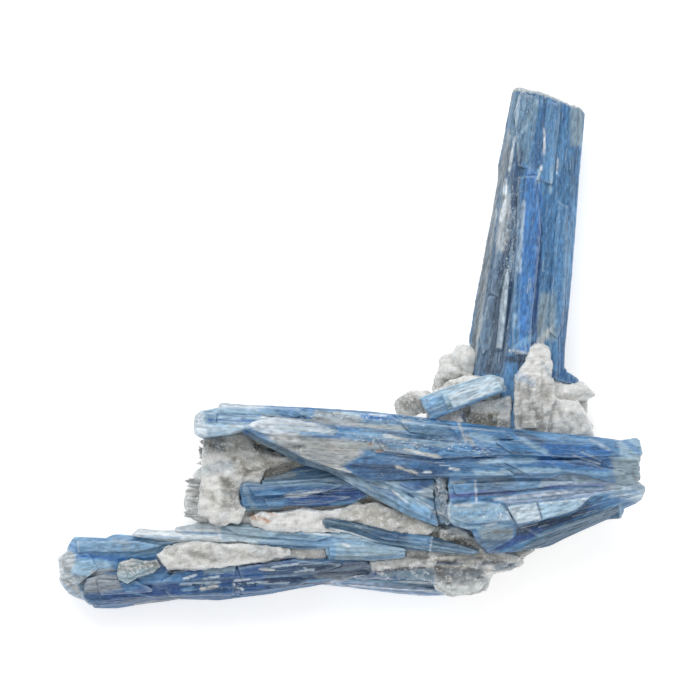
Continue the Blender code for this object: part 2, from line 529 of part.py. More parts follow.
def foot_of_quartz(rng):
    """The quartz that the tall blade stands in."""
    block = [(38.4, -6.2), (44.0, -5.6), (47.4, -7.4), (47.8, -12.0), (46.2, -15.0), (46.2, -19.9), (38.5, -19.0)]
    upper_bits = [(42.0, 0.0), (44.0, 1.0), (46.0, 0.3), (47.0, -4.0), (46.8, -6.7), (39.5, -5.4), (41.0, -3.0)]
    wing = [(46.0, -7.6), (50.0, -8.0), (56.5, -10.2), (57.2, -11.0), (55.0, -11.9), (46.0, -12.4)]
    lower_right = [(46.0, -11.8), (53.0, -12.8), (55.0, -15.5), (56.7, -20.6), (46.0, -20.0)]
    under_cross = [(19.5, -10.0), (28.0, -6.5), (37.5, -7.4), (37.0, -20.5), (23.0, -19.5), (18.0, -16.0)]
    base = [(20.5, -4.4), (28.0, -1.0), (50.0, -6.0), (55.5, -12.0), (55.0, -20.0), (20.0, -18.5)]
    window = [(28.0, -13.2), (37.4, -11.2), (37.4, -22.0), (28.2, -22.4)]
    solids = [
        plate(base, MASS_UNDER, 12.0),
        plate(block, 8.0, FOOT_TOP + 1.5, (0.0, 0.06)),
        plate([(40.0, -7.4), (43.0, -7.0), (43.4, -18.6), (40.4, -18.4)], 14.0, FOOT_TOP + 2.3, (0.0, 0.05)),
        plate(upper_bits, 16.0, FOOT_TOP, (0.0, -0.15)),
        plate(wing, 7.0, FOOT_TOP - 5.5, (-0.2, 0.0)),
        plate(lower_right, 6.0, FOOT_TOP - 2.0, (-0.25, 0.0)),
        plate(under_cross, 6.0, 20.0, (0.1, 0.0)),
        plate(window, 10.0, 22.4, (0.0, 0.1)),
    ]
    lumps = [
        ((14.0, -13.0, 9.5), (5.0, 3.6, 4.5)), ((17.6, -12.6, 12.0), (3.2, 3.2, 4.0)),
        ((21.8, -8.4, 9.0), (3.6, 3.6, 4.0)), ((24.6, -4.2, 11.0), (4.8, 4.4, 5.0)),
        ((27.0, -3.0, 13.5), (3.2, 4.6, 4.0)), ((26.0, -10.0, 18.0), (4.6, 4.0, 4.5)),
        ((25.6, -18.0, 20.0), (2.6, 5.0, 4.5)), ((33.0, -16.0, 19.0), (5.0, 4.0, 5.0)),
        ((42.4, -12.0, 22.0), (5.0, 8.0, 4.0)),
        ((50.6, -10.0, 14.0), (6.0, 3.0, 5.0)), ((50.4, -16.0, 17.0), (5.0, 5.0, 5.0)),
        ((53.4, -18.4, 14.0), (4.0, 3.2, 5.0)), ((44.0, -2.0, 19.0), (3.2, 3.6, 3.6)),
    ]
    return solids + [chunk(rng, middle, size) for middle, size in lumps]


def quartz_matrix():
    rng = random.Random(QUARTZ_SEED)
    mass = [
        (-34.5, -17.8), (-34.1, -20.6), (-33.5, -23.8), (-34.6, -26.3), (-34.4, -28.8), (-37.0, -30.7),
        (-36.6, -33.2), (-37.8, -35.6), (-37.6, -38.6), (-35.4, -40.2), (-37.0, -42.6), (-43.5, -46.6),
        (-45.0, -49.0), (-46.0, -54.0), (-30.0, -56.2), (-8.0, -53.6), (18.0, -54.0), (24.0, -57.4),
        (30.0, -57.0), (33.0, -53.2), (34.5, -52.2), (38.0, -52.0), (39.5, -49.2), (44.0, -46.6),
        (54.0, -41.0), (61.0, -36.6), (62.0, -25.0), (45.0, -21.6), (20.0, -18.4), (-6.0, -16.6),
    ]
    ragged = [
        (19.0, -51.5), (27.0, -51.0), (32.0, -50.8), (33.5, -52.0), (32.5, -54.5), (31.0, -56.8),
        (27.0, -57.7), (23.0, -57.9), (20.0, -56.0),
    ]
    cream = [
        (-45.0, -48.3), (-43.5, -46.8), (-36.0, -45.2), (-14.0, -46.6), (-13.8, -48.4), (-20.0, -49.6),
        (-28.3, -50.9), (-37.5, -51.8), (-41.7, -52.4),
    ]
    rest = [
        (-27.0, -24.0), (-12.0, -20.5), (18.0, -21.0), (24.0, -9.0), (48.0, -9.5), (53.0, -24.0),
        (44.0, -39.0), (24.0, -49.0), (-4.0, -47.0), (-24.0, -44.0), (-31.0, -34.0),
    ]
    solids = [
        plate(mass, MASS_UNDER, MATRIX_TOP),
        plate(rest, 0.0, MASS_UNDER + 2.0),
        plate(ragged, 3.0, BOTTOM_TOP + 1.0, (-0.1, -0.1)),
        plate(cream, 8.0, LOWER_TOP + 0.6),
        plate([(-33.6, -18.4), (-24.0, -19.4), (-20.0, -29.0), (-26.0, -41.0), (-35.6, -39.0)], 10.0, 20.2),
        plate([(-20.0, -38.6), (-4.0, -37.8), (6.0, -36.0), (20.0, -41.8), (18.0, -43.6), (-20.0, -42.6)], 10.0, 19.4),
        plate([(19.6, -41.6), (27.0, -42.6), (31.0, -46.4), (40.0, -49.0), (34.0, -51.6), (18.0, -50.4)], 8.0, 17.2),
    ]
    lumps = [
        ((-31.0, -24.0, 18.6), (3.4, 3.6, 3.2)), ((-27.4, -28.4, 18.8), (4.0, 3.4, 3.4)),
        ((-33.0, -30.6, 15.0), (4.0, 3.0, 4.2)), ((-29.4, -34.4, 18.6), (3.6, 3.4, 3.4)),
        ((-34.0, -36.4, 14.6), (4.0, 3.4, 4.4)), ((-29.6, -39.0, 18.0), (4.2, 2.8, 3.4)),
        ((-22.4, -26.6, 18.8), (4.6, 3.4, 3.4)), ((-17.0, -25.6, 19.2), (4.4, 2.8, 3.2)),
        ((-20.4, -40.0, 18.2), (4.2, 2.0, 3.0)), ((-11.0, -39.2, 18.2), (4.8, 2.2, 3.0)),
        ((1.0, -38.4, 18.2), (4.6, 2.6, 3.2)), ((10.0, -41.0, 18.0), (5.0, 2.6, 3.4)),
        ((24.0, -43.6, 17.6), (4.0, 2.6, 3.4)), ((-38.0, -48.6, 15.8), (4.6, 2.8, 3.4)),
        ((-30.0, -48.0, 16.2), (4.6, 2.6, 3.2)), ((-21.0, -47.6, 16.4), (4.6, 2.4, 3.2)),
        ((37.0, -49.6, 10.0), (4.0, 3.2, 4.4)), ((29.0, -54.2, 8.0), (4.6, 3.4, 4.4)),
        ((24.4, -55.6, 7.6), (3.4, 2.6, 4.0)), ((-40.6, -45.6, 12.6), (4.0, 2.8, 4.4)),
        ((21.0, -36.0, 19.6), (2.6, 5.6, 4.0)),
    ]
    flanks = [
        ((-28.0, -20.0, 9.0), (7.0, 4.4, 7.0)), ((-14.0, -20.0, 8.0), (8.0, 4.4, 6.5)),
        ((0.0, -20.6, 9.4), (7.0, 4.4, 7.0)), ((12.0, -21.0, 8.0), (7.0, 4.0, 6.0)),
        ((56.0, -27.0, 10.0), (6.4, 6.0, 7.0)),
        ((-34.6, -35.0, 8.0), (4.4, 6.0, 6.0)), ((-36.0, -52.0, 7.0), (8.0, 4.6, 5.0)),
        ((-16.0, -51.6, 6.8), (8.0, 4.0, 5.0)), ((50.0, -35.0, 7.0), (8.0, 6.4, 5.4)),
    ]
    underside = [
        ((-21.0, -29.0, 4.9), (10.0, 8.0, 4.6)), ((25.0, -28.0, 4.9), (11.0, 8.0, 4.6)),
    ]
    lumps += flanks + underside
    return solids + [chunk(rng, middle, size) for middle, size in lumps] + foot_of_quartz(rng)


# In the order in which they keep their shape: each is cut back, by the gap, from those above it
PIECES = [
    (tall_blade, (0.045, 0.130, 0.330), 0.34, 0.0),
    (cross_blade, (0.300, 0.480, 0.680), 0.32, 0.1),
    (upper_blade, (0.090, 0.210, 0.420), 0.32, 0.05),
    (fan_blade, (0.050, 0.140, 0.360), 0.30, 0.05),
    (slant_blade, (0.100, 0.200, 0.330), 0.34, 0.0),
    (middle_blade, (0.012, 0.060, 0.230), 0.26, 0.05),
    (teal_lath, (0.050, 0.110, 0.170), 0.34, 0.0),
    (pale_blade, (0.330, 0.480, 0.620), 0.34, 0.1),
    (quartz_flake, (0.470, 0.560, 0.560), 0.28, 0.3),
    (left_blade, (0.075, 0.190, 0.400), 0.38, 0.0),
    (long_lower_blade, (0.030, 0.100, 0.290), 0.32, 0.05),
    (bottom_blade, (0.110, 0.180, 0.500), 0.28, 0.05),
    (quartz_matrix, (0.600, 0.590, 0.580), 0.32, 0.3),
]

for leftover in list(bpy.data.objects):
    bpy.data.objects.remove(leftover)

specimen = bpy.data.collections.new("kyanite_specimen")
helpers = bpy.data.collections.new("helpers")
bpy.context.scene.collection.children.link(specimen)
bpy.context.scene.collection.children.link(helpers)
helpers.hide_render = True

solids = {}
room = []
for make, *_ in PIECES:
    shapes = make()
    joined = boolean(shapes[0], shapes[1:], "UNION")
    cutters = [shape for shape in room if near(shape, joined)]
    solids[make.__name__] = largest(boolean(joined, cutters, "DIFFERENCE") if cutters else joined)
    room += [grown(shape) for shape in shapes]

corners = [corner for mesh in solids.values() for corner in reach(mesh)]
low = [min(corner[axis] for corner in corners) for axis in range(3)]
high = [max(corner[axis] for corner in corners) for axis in range(3)]
middle_bottom = Vector(((low[0] + high[0]) / 2, (low[1] + high[1]) / 2, low[2]))

root = bpy.data.objects.new("specimen_root", None)
root.scale = (MM, MM, MM)
root.location = middle_bottom * -MM
specimen.objects.link(root)

for make, colour, roughness, transmission in PIECES:
    name = make.__name__
    piece = bpy.data.objects.new(name, solids[name])
    piece.data.name = name
    piece.data.materials.clear()
    piece.data.materials.append(finish_of(name + "_finish", colour, roughness, transmission))
    piece.parent = root
    specimen.objects.link(piece)
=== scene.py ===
import itertools
import math
import random

import bmesh
import bpy
import numpy as np
from mathutils import Matrix, Vector
from mathutils.bvhtree import BVHTree


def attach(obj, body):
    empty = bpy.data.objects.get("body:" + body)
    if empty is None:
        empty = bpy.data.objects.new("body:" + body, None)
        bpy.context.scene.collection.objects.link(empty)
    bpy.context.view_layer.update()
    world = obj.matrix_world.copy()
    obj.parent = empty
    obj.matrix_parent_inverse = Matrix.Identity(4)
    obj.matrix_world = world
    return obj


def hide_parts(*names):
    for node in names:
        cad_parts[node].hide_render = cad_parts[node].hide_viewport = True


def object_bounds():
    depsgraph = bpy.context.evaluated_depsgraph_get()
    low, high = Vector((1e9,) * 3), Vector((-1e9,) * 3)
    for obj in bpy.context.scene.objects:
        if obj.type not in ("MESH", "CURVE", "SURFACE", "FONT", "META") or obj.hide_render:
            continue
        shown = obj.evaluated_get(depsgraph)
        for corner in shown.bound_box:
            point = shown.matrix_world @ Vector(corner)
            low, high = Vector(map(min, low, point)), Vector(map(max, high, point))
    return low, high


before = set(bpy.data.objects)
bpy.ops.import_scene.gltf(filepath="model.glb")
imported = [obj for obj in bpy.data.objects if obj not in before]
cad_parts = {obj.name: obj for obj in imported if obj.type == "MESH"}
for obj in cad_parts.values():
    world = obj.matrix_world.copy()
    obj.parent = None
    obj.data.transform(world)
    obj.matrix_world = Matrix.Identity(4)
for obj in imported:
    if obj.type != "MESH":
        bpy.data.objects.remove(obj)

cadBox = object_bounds()
mm = 0.001

# Places on the specimen are in millimetres of its plan, X right and Y up in the picture.
# The plan's left and top limits say how it lies in the frame.
planLimits = {"left": -68.2, "top": 60.9}
planShift = Vector((cadBox[0][0] / mm - planLimits["left"], cadBox[1][1] / mm - planLimits["top"]))

# Colours as they are seen, in sRGB
palette = {
    "royal": (14, 66, 130), "deep": (34, 86, 134), "navy": (26, 58, 94), "ink": (22, 40, 66),
    "mid": (70, 122, 166), "bright": (50, 114, 178), "sky": (114, 160, 198), "pale": (162, 190, 206),
    "ice": (198, 212, 220), "white": (228, 230, 231), "cream": (214, 209, 198), "beige": (172, 172, 164),
    "grey": (136, 142, 146), "steel": (98, 114, 130), "dark": (66, 76, 88), "teal": (46, 86, 112),
    "violet": (84, 94, 160), "mist": (176, 190, 210), "olive": (132, 132, 116), "smoke": (104, 102, 98),
    "stone": (190, 190, 186), "orange": (196, 132, 76), "rust": (150, 108, 66),
    "sage": (146, 162, 166), "dusk": (98, 130, 154), "azure": (34, 100, 166), "haze": (150, 148, 142),
    "sand": (172, 168, 158), "cloud": (208, 209, 207), "bone": (238, 238, 235),
}


def linear(colour):
    # the sRGB curve, from values of 0 to 255
    return np.array([(c / 255 / 12.92) if c < 11 else ((c / 255 + 0.055) / 1.055) ** 2.4 for c in colour])


tones = {name: linear(colour) for name, colour in palette.items()}


# Noise in code

def chances(cells, seed, count):
    # random values from 0 to 1 for each cell, the same in every run
    mixed = cells[:, 0] * 73856093 ^ cells[:, 1] * 19349663 ^ cells[:, 2] * 83492791 ^ seed * 2654435761
    values = []
    for _ in range(count):
        mixed = (mixed ^ (mixed >> 13)) * 1274126177 & 0x7FFFFFFF
        values.append(((mixed ^ (mixed >> 16)) & 0xFFFF) / 65535)
    return values


def softNoise(points, seed):
    # smooth values from 0 to 1; the points are already divided by the size of a grain
    cell = np.floor(points).astype(np.int64)
    share = points - cell
    share = share * share * (3 - 2 * share)
    total = np.zeros(len(points))
    for corner in itertools.product((0, 1), repeat=3):
        value = chances(cell + np.array(corner), seed, 1)[0]
        weight = np.ones(len(points))
        for axis in range(3):
            weight = weight * (share[:, axis] if corner[axis] else 1 - share[:, axis])
        total += weight * value
    return total


def layered(points, seed, octaves=3):
    total = sum(softNoise(points * 2 ** step, seed + step) / 2 ** step for step in range(octaves))
    return total / sum(1 / 2 ** step for step in range(octaves))


def smooth(values, low, high):
    share = np.clip((values - low) / (high - low), 0, 1)
    return share * share * (3 - 2 * share)


# Meshes

def coordinates(mesh):
    values = np.empty(len(mesh.vertices) * 3)
    mesh.vertices.foreach_get("co", values)
    return values.reshape(-1, 3)


def normalsOf(mesh):
    values = np.empty(len(mesh.vertices) * 3)
    mesh.vertex_normals.foreach_get("vector", values)
    return values.reshape(-1, 3)


def planOf(points):
    return points[:, :2] / mm - np.array(planShift)


def nodeCopy(nodeName):
    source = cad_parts[nodeName]
    bm = bmesh.new()
    bm.from_mesh(source.data)
    bm.transform(source.matrix_world)
    bmesh.ops.remove_doubles(bm, verts=bm.verts[:], dist=1e-6)
    return bm


def meshFrom(bm, name):
    mesh = bpy.data.meshes.new(name)
    bm.to_mesh(mesh)
    bm.free()
    return mesh


def pieceFrom(mesh, name):
    piece = bpy.data.objects.new(name, mesh)
    bpy.context.scene.collection.objects.link(piece)
    return piece


def fineSkin(bm, name, voxel):
    # one closed skin with even faces, fine enough to be worked and painted
    piece = pieceFrom(meshFrom(bm, name), name)
    remesh = piece.modifiers.new("Remesh", "REMESH")
    remesh.mode = "VOXEL"
    remesh.voxel_size = voxel * mm
    remesh.use_smooth_shade = True
    depsgraph = bpy.context.evaluated_depsgraph_get()
    fine = bpy.data.meshes.new_from_object(piece.evaluated_get(depsgraph))
    bpy.data.objects.remove(piece)
    return fine


class Grain:
    # the run of a blade's fibres, between its two side lines in plan

    def __init__(self, left, right):
        self.left = [np.array(point, float) for point in left]
        self.right = [np.array(point, float) for point in right]
        self.root = (self.left[0] + self.right[0]) / 2
        self.axis = (self.left[1] + self.right[1]) / 2 - self.root

    def shares(self, plan):
        # along (0 at the root) and across (0 at the left line)
        along = (plan - self.root) @ self.axis / (self.axis @ self.axis)
        near = self.left[0] + (self.left[1] - self.left[0]) * along[:, None]
        wide = self.right[0] + (self.right[1] - self.right[0]) * along[:, None] - near
        return along, ((plan - near) * wide).sum(axis=1) / np.maximum((wide * wide).sum(axis=1), 0.5)

    def flow(self, points):
        # mm along the fibres, across them and up
        along, across = self.shares(planOf(points))
        width = sum(np.linalg.norm(self.right[end] - self.left[end]) for end in (0, 1)) / 2
        return np.column_stack([along * np.linalg.norm(self.axis), across * width, points[:, 2] / mm])

    def direction(self, point):
        across = self.shares(planOf(np.array([point])))[1][0]
        line = (self.left[1] - self.left[0]) * (1 - across) + (self.right[1] - self.right[0]) * across
        return Vector((*line, 0)).normalized()


def inBox(points):
    low, high = (np.array(corner) for corner in cadBox)
    return np.clip(points, low, high)


def raised(points, plan, normals, patches, edge=None):
    # the steps of some patches, on the faces that look up; edge takes the place of their feathers
    upward = smooth(normals[:, 2], 0.2, 0.7)
    for _, outline, feather, _, rise in patches:
        if rise:
            points[:, 2] += patchMask(plan, outline, edge or feather, 0.0) * upward * rise * mm


growth = 0.4     # mm that each blade's skin stands out, so that pieces grown together meet
wear = {
    # sizes along the grain, across it and up, in mm
    "ledge": (30, 2.2, 2.2), "groove": (16, 0.9, 0.9), "thread": (7, 0.5, 0.5),
    # depths as shares of a look's relief
    "ledgeDepth": 1.9, "grooveDepth": 0.5, "threadDepth": 0.35, "ledgeSteps": 5,
    # ragged ends: width of a lane, how far in from an end it starts, size of its noise
    "lane": 0.5, "endReach": 3.0, "endGrain": 0.8,
}


def worn(mesh, grain, look):
    # ledges and fine threads along the grain, the steps of its patches, and ragged ends
    points = coordinates(mesh)
    normals = normalsOf(mesh)
    flow = grain.flow(points)
    plan = planOf(points)
    seed = look["seed"]
    scale = look["grain"]
    ledges = softNoise(flow / np.array(wear["ledge"]) / scale, seed) * wear["ledgeSteps"]
    ledges = (np.floor(ledges) + smooth(np.mod(ledges, 1), 0.0, 0.16)) / wear["ledgeSteps"]
    grooves = np.abs(softNoise(flow / np.array(wear["groove"]) / scale, seed + 5) - 0.5) * 2
    threads = layered(flow / np.array(wear["thread"]) / scale, seed + 9, 2)
    depth = wear["ledgeDepth"] * (1 - ledges) + wear["grooveDepth"] * (1 - smooth(grooves, 0.0, 0.4))
    depth = look["relief"] * (depth + wear["threadDepth"] * threads)
    points += normals * ((growth - depth) * mm)[:, None]
    raised(points, plan, normals, look["patches"])
    lane = np.floor((flow[:, 1] - flow[:, 1].min()) / wear["lane"]).astype(int)
    first = np.full(lane.max() + 1, np.inf)
    last = np.full(lane.max() + 1, -np.inf)
    np.minimum.at(first, lane, flow[:, 0])
    np.maximum.at(last, lane, flow[:, 0])
    section = np.column_stack([flow[:, 1], flow[:, 2], np.zeros(len(flow))])
    cut = softNoise(section / wear["endGrain"], seed + 11) ** 2 * look["ragged"]
    atRoot = (1 - smooth(flow[:, 0] - first[lane], 0.0, wear["endReach"])) * cut
    atTip = (1 - smooth(last[lane] - flow[:, 0], 0.0, wear["endReach"])) * cut
    axis = np.append(grain.axis / np.linalg.norm(grain.axis), 0)
    points += (atRoot - atTip)[:, None] * axis * mm
    mesh.vertices.foreach_set("co", inBox(points).ravel())
    mesh.update()


def opened(mesh):
    # a mesh that slivers are added to; their shade goes in the layer "lift"
    bm = bmesh.new()
    bm.from_mesh(mesh)
    bm.verts.layers.float.new("lift")
    return bm


def closed(bm, mesh):
    low, high = cadBox
    for vert in bm.verts:
        vert.co = [min(max(vert.co[axis], low[axis]), high[axis]) for axis in range(3)]
    bm.to_mesh(mesh)
    bm.free()


def sliver(bm, rng, middle, along, up, size):
    # a thin broken strip that lies along the grain
    length, width, thickness = size
    made = bmesh.ops.create_cube(bm, size=1.0)["verts"]
    slant = rng.uniform(-1.4, 1.4)
    taper = rng.uniform(0.2, 1.0)
    for vert in made:
        end = vert.co.x > 0
        vert.co.x = vert.co.x * length + vert.co.y * width * slant
        vert.co.y *= width * (taper if end else 1.0)
        vert.co.z *= thickness * (0.5 if end else 1.0)
    across = up.cross(along).normalized()
    turn = Matrix((along, across, along.cross(across))).transposed().to_4x4()
    bmesh.ops.transform(bm, matrix=Matrix.Translation(middle) @ turn, verts=made)
    lift = bm.verts.layers.float["lift"]
    shade = rng.uniform(-1, 1)
    for vert in made:
        vert[lift] = shade


splinters = {"length": (1.2, 4.5), "width": (0.15, 0.35), "thickness": (0.16, 0.3), "offSkin": 0.22}    # mm


def splintered(mesh, grain, look):
    # loose slivers on the skin, each with both its ends on it
    rng = random.Random(look["seed"])
    bm = opened(mesh)
    bm.verts.ensure_lookup_table()
    skin = BVHTree.FromBMesh(bm)
    placed = []
    for _ in range(look["slivers"] * 30):
        if len(placed) == look["slivers"]:
            break
        vert = bm.verts[rng.randrange(len(bm.verts))]
        up = vert.normal.copy()
        if up.z < 0.35 and rng.random() < 0.8:
            continue
        along = grain.direction(vert.co)
        along = (along - up * along.dot(up)).normalized()
        length = rng.uniform(*splinters["length"]) * mm
        ends = [skin.find_nearest(vert.co + along * length * side) for side in (-0.5, 0.5)]
        if max(end[3] for end in ends) < splinters["offSkin"] * mm:
            along = (ends[1][0] - ends[0][0]).normalized()
            placed.append(((ends[0][0] + ends[1][0]) / 2, along, up, length))
    for middle, along, up, length in placed:
        up = (up - along * up.dot(along)).normalized()
        width, thickness = (rng.uniform(*splinters[side]) * mm for side in ("width", "thickness"))
        sliver(bm, rng, middle, along, up, [length, width, thickness])
    closed(bm, mesh)


def hollows(mesh):
    # how far each vertex lies below the ones around it
    points = coordinates(mesh)
    ends = np.empty(len(mesh.edges) * 2, dtype=np.int64)
    mesh.edges.foreach_get("vertices", ends)
    first, second = ends.reshape(-1, 2).T
    count = np.bincount(ends, minlength=len(points))

    def around(values):
        total = np.bincount(first, values[second], len(points))
        total = total + np.bincount(second, values[first], len(points))
        return total / np.maximum(count, 1)

    normals = normalsOf(mesh)
    middle = np.column_stack([around(points[:, axis]) for axis in range(3)])
    bend = ((middle - points) * normals).sum(axis=1) / mm
    return around(bend) * 0.6 + bend * 0.4


# Paint: patches and soft strokes in plan, laid one over the other

def strokeMask(plan, start, end, drift):
    # 1 in the stroke, 0 outside; its ends fade out more slowly than its sides
    a = np.array(start[:2], float)
    b = np.array(end[:2], float)
    length = max(np.linalg.norm(b - a), 1e-6)
    line = (b - a) / length
    along = (plan - a) @ line
    beyond = np.maximum(np.maximum(-along, along - length), 0)
    aside = np.abs((plan - a) @ np.array([-line[1], line[0]]))
    half = start[2] + (end[2] - start[2]) * np.clip(along / length, 0, 1)
    return 1 - smooth(np.hypot(aside, beyond / 2.5) / half + drift, 0.6, 1.25)


def patchMask(plan, outline, feather, drift):
    corners = np.array(outline, float)
    inside = np.zeros(len(plan), bool)
    gap = np.full(len(plan), np.inf)
    for start, end in zip(corners, np.roll(corners, -1, axis=0)):
        line = end - start
        share = np.clip((plan - start) @ line / (line @ line), 0, 1)
        gap = np.minimum(gap, np.linalg.norm(plan - start - line * share[:, None], axis=1))
        crossing = (start[1] > plan[:, 1]) != (end[1] > plan[:, 1])
        inside ^= crossing & (plan[:, 0] < start[0] + line[0] * (plan[:, 1] - start[1]) / (line[1] or 1e-9))
    return 1 - smooth(np.where(inside, -gap, gap) + drift * 0.35, -feather, feather)


# sizes of the colour's noise along the grain, across it and up, in mm
brushes = {name: np.array(size) for name, size in {
    "streak": (7.0, 0.45, 0.45), "blur": (3.0, 1.2, 1.2),
    "broad": (12.0, 1.6, 1.6), "fine": (1.1, 0.34, 0.34),
}.items()}


def toward(colour, name, share):
    # the colour of each vertex, moved some way to a named one
    return colour + (tones[name] - colour) * share[:, None]


def painted(mesh, flow, look):
    points = coordinates(mesh)
    plan = planOf(points)
    seed = look["seed"]
    powder = np.full(len(points), look.get("frost", 0.0))
    streak = layered(flow / brushes["streak"], seed)
    blur = layered(flow / brushes["blur"], seed + 3)
    broad = layered(flow / brushes["broad"], seed + 6, 2)
    drift = (streak - 0.5) * 1.3 + (blur - 0.5) * 1.1
    colour = np.tile(tones[look["ground"]], (len(points), 1))
    marks = [(name, patchMask(plan, outline, feather, drift), strength)
             for name, outline, feather, strength, _ in look["patches"]]
    marks += [(name, strokeMask(plan, start, end, drift), strength)
              for name, start, end, strength in look["strokes"]]
    for name, mask, strength in marks:
        if name == "frost":
            powder = powder + (1 - powder) * mask * strength
        else:
            colour = toward(colour, name, mask * strength)
    if "paintFrom" in look:
        height = points[:, 2] / mm
        colour = toward(colour, "stone", 1 - smooth(height, look["paintFrom"] - 1.5, look["paintFrom"] + 0.5))
    lively = look.get("lively", 1.0)
    colour = colour * (1 + (broad - 0.5) * 0.5 * lively)[:, None]
    fine = softNoise(flow / brushes["fine"], seed + 8)
    colour = colour * (1 + (fine - 0.5) * (0.9 + powder * 0.5) * lively)[:, None]
    veil = smooth(streak + powder * 0.1, 0.62, 0.76) * lively * (0.16 + powder * 0.5)
    veil = veil + smooth(fine * 0.5 + blur * 0.5, 0.66, 0.80) * (0.2 + powder) * lively * 0.6
    colour = toward(colour, "ice", np.clip(veil, 0, 0.9))
    # painted shade: vertices that lie below their neighbours, in creases and hollows, are darkened by up to
    # the look's "shade"; vertices that stand above them, on ridges and edges, go toward ice by the look's
    # "edges", partly frosted wear and partly painted highlight
    bend = hollows(mesh)
    colour = colour * (1 - np.clip(bend * 5, 0, look.get("shade", 0.45)))[:, None]
    colour = toward(colour, "ice", np.clip(-bend * 6, 0, 0.6) * look.get("edges", 0.6))
    if "lift" in mesh.attributes:
        lift = np.empty(len(points))
        mesh.attributes["lift"].data.foreach_get("value", lift)
        colour = toward(colour, "ice", np.clip(lift, 0, 1) * 0.3)
        colour = colour * (1 + np.clip(lift, -1, 0) * 0.3)[:, None]
    layer = mesh.attributes.new("tone", "FLOAT_COLOR", "POINT")
    layer.data.foreach_set("color", np.column_stack([colour, powder]).ravel())
    grainLayer = mesh.attributes.new("flow", "FLOAT_VECTOR", "POINT")
    grainLayer.data.foreach_set("vector", flow.ravel())


# Shader maths

class Wire:
    # a socket that can be used in sums; each sum adds a Math node

    def __init__(self, finish, socket):
        self.finish = finish
        self.socket = socket

    def maths(self, operation, first, second):
        return self.finish.add("ShaderNodeMath", {"operation": operation}, {0: first, 1: second})

    def __add__(self, other):
        return self.maths("ADD", self, other)

    def __radd__(self, other):
        return self.maths("ADD", other, self)

    def __sub__(self, other):
        return self.maths("SUBTRACT", self, other)

    def __rsub__(self, other):
        return self.maths("SUBTRACT", other, self)

    def __mul__(self, other):
        return self.maths("MULTIPLY", self, other)

    def __rmul__(self, other):
        return self.maths("MULTIPLY", other, self)


class Finish:
    # a material with its shader, and one way to add any node to it

    def __init__(self, name):
        self.material = bpy.data.materials.new(name)
        self.material.use_nodes = True
        self.shader = self.material.node_tree.nodes["Principled BSDF"]

    def add(self, kind, settings=None, sockets=None, output=0):
        node = self.material.node_tree.nodes.new(kind)
        for name, value in (settings or {}).items():
            setattr(node, name, value)
        for name, value in (sockets or {}).items():
            self.feed(node.inputs[name], value)
        return Wire(self, node.outputs[output])

    def feed(self, socket, value):
        if isinstance(value, Wire):
            self.material.node_tree.links.new(value.socket, socket)
        else:
            socket.default_value = value

    def set(self, **values):
        for name, value in values.items():
            self.feed(self.shader.inputs[name.replace("_", " ")], value)

    def between(self, wire, low, high):
        # 0 below low, 1 above high, smooth between them
        return self.add(
            "ShaderNodeMapRange",
            {"interpolation_type": "SMOOTHSTEP"},
            {"Value": wire, "From Min": low, "From Max": high},
        )

    def mix(self, factor, first, second, blend="MIX"):
        settings = {"data_type": "RGBA", "blend_type": blend}
        return self.add("ShaderNodeMix", settings, {0: factor, 6: first, 7: second}, 2)

    def noise(self, place, stretch, detail=3.0, rough=0.6):
        scaled = self.add("ShaderNodeVectorMath", {"operation": "MULTIPLY"}, {0: place, 1: stretch})
        sockets = {"Vector": scaled, "Scale": 1.0, "Detail": detail, "Roughness": rough}
        return self.add("ShaderNodeTexNoise", None, sockets)

    def bumps(self, height, strength, distance):
        sockets = {"Height": height, "Strength": strength, "Distance": distance}
        return self.add("ShaderNodeBump", None, sockets)

    def attribute(self, name, output=0):
        return self.add("ShaderNodeAttribute", {"attribute_name": name}, None, output)


kyaniteTints = {
    "shade": (0.36, 0.52, 0.70, 1), "light": (0.32, 0.52, 0.70, 1), "fleck": (0.80, 0.83, 0.85, 1),
}


def kyaniteFinish(name, look):
    finish = Finish(name)
    tone = finish.attribute("tone")
    powder = finish.attribute("tone", 3)      # the colour's alpha: how frosted the face is
    flow = finish.attribute("flow", 1)        # mm along the grain, across it and up
    shift = (look["seed"] * 3.7, look["seed"] * 1.9, 0)
    place = finish.add("ShaderNodeVectorMath", {"operation": "ADD"}, {0: flow, 1: shift})
    threads = finish.noise(place, (0.2, 3.2, 3.2), 2.0, 0.55)
    streaks = finish.noise(place, (0.07, 1.3, 1.3), 3.0, 0.6)
    specks = finish.noise(place, (1.3, 2.4, 2.4), 4.0, 0.75)
    shade = finish.between(streaks, 0.50, 0.34) * 0.36 + finish.between(threads, 0.49, 0.33) * 0.30
    mottle = finish.noise(place, (0.9, 2.6, 2.6), 5.0, 0.8)
    shade = shade + finish.between(mottle, 0.50, 0.41) * 0.40
    darker = finish.mix(shade, tone, kyaniteTints["shade"], "MULTIPLY")
    lift = finish.between(streaks, 0.52, 0.68) * 0.22 + finish.between(threads, 0.53, 0.69) * 0.30
    lift = lift + finish.between(mottle, 0.52, 0.62) * 0.40
    lighter = finish.mix(lift * (powder * 0.9 + 0.45), darker, kyaniteTints["light"])
    flecks = finish.between(specks + powder * 0.16, 0.65, 0.72)
    colour = finish.mix(flecks * 0.8, lighter, kyaniteTints["fleck"])
    relief = finish.bumps(threads * 0.6 + specks * 0.3 + flecks * 0.3, 0.45, 0.00025)
    roughness = look.get("gloss", 0.3) + threads * 0.16 + flecks * 0.2
    finish.set(Base_Color=colour, Roughness=roughness, Normal=relief)
    finish.set(IOR=1.6, Specular_IOR_Level=0.32, Coat_Weight=0.16, Coat_Roughness=0.14)
    finish.set(Subsurface_Weight=0.12, Subsurface_Scale=0.001, Subsurface_Radius=(0.8, 0.9, 1.0))
    return finish.material


quartzTints = {"shade": (0.58, 0.58, 0.57, 1), "sugar": (0.92, 0.92, 0.91, 1)}


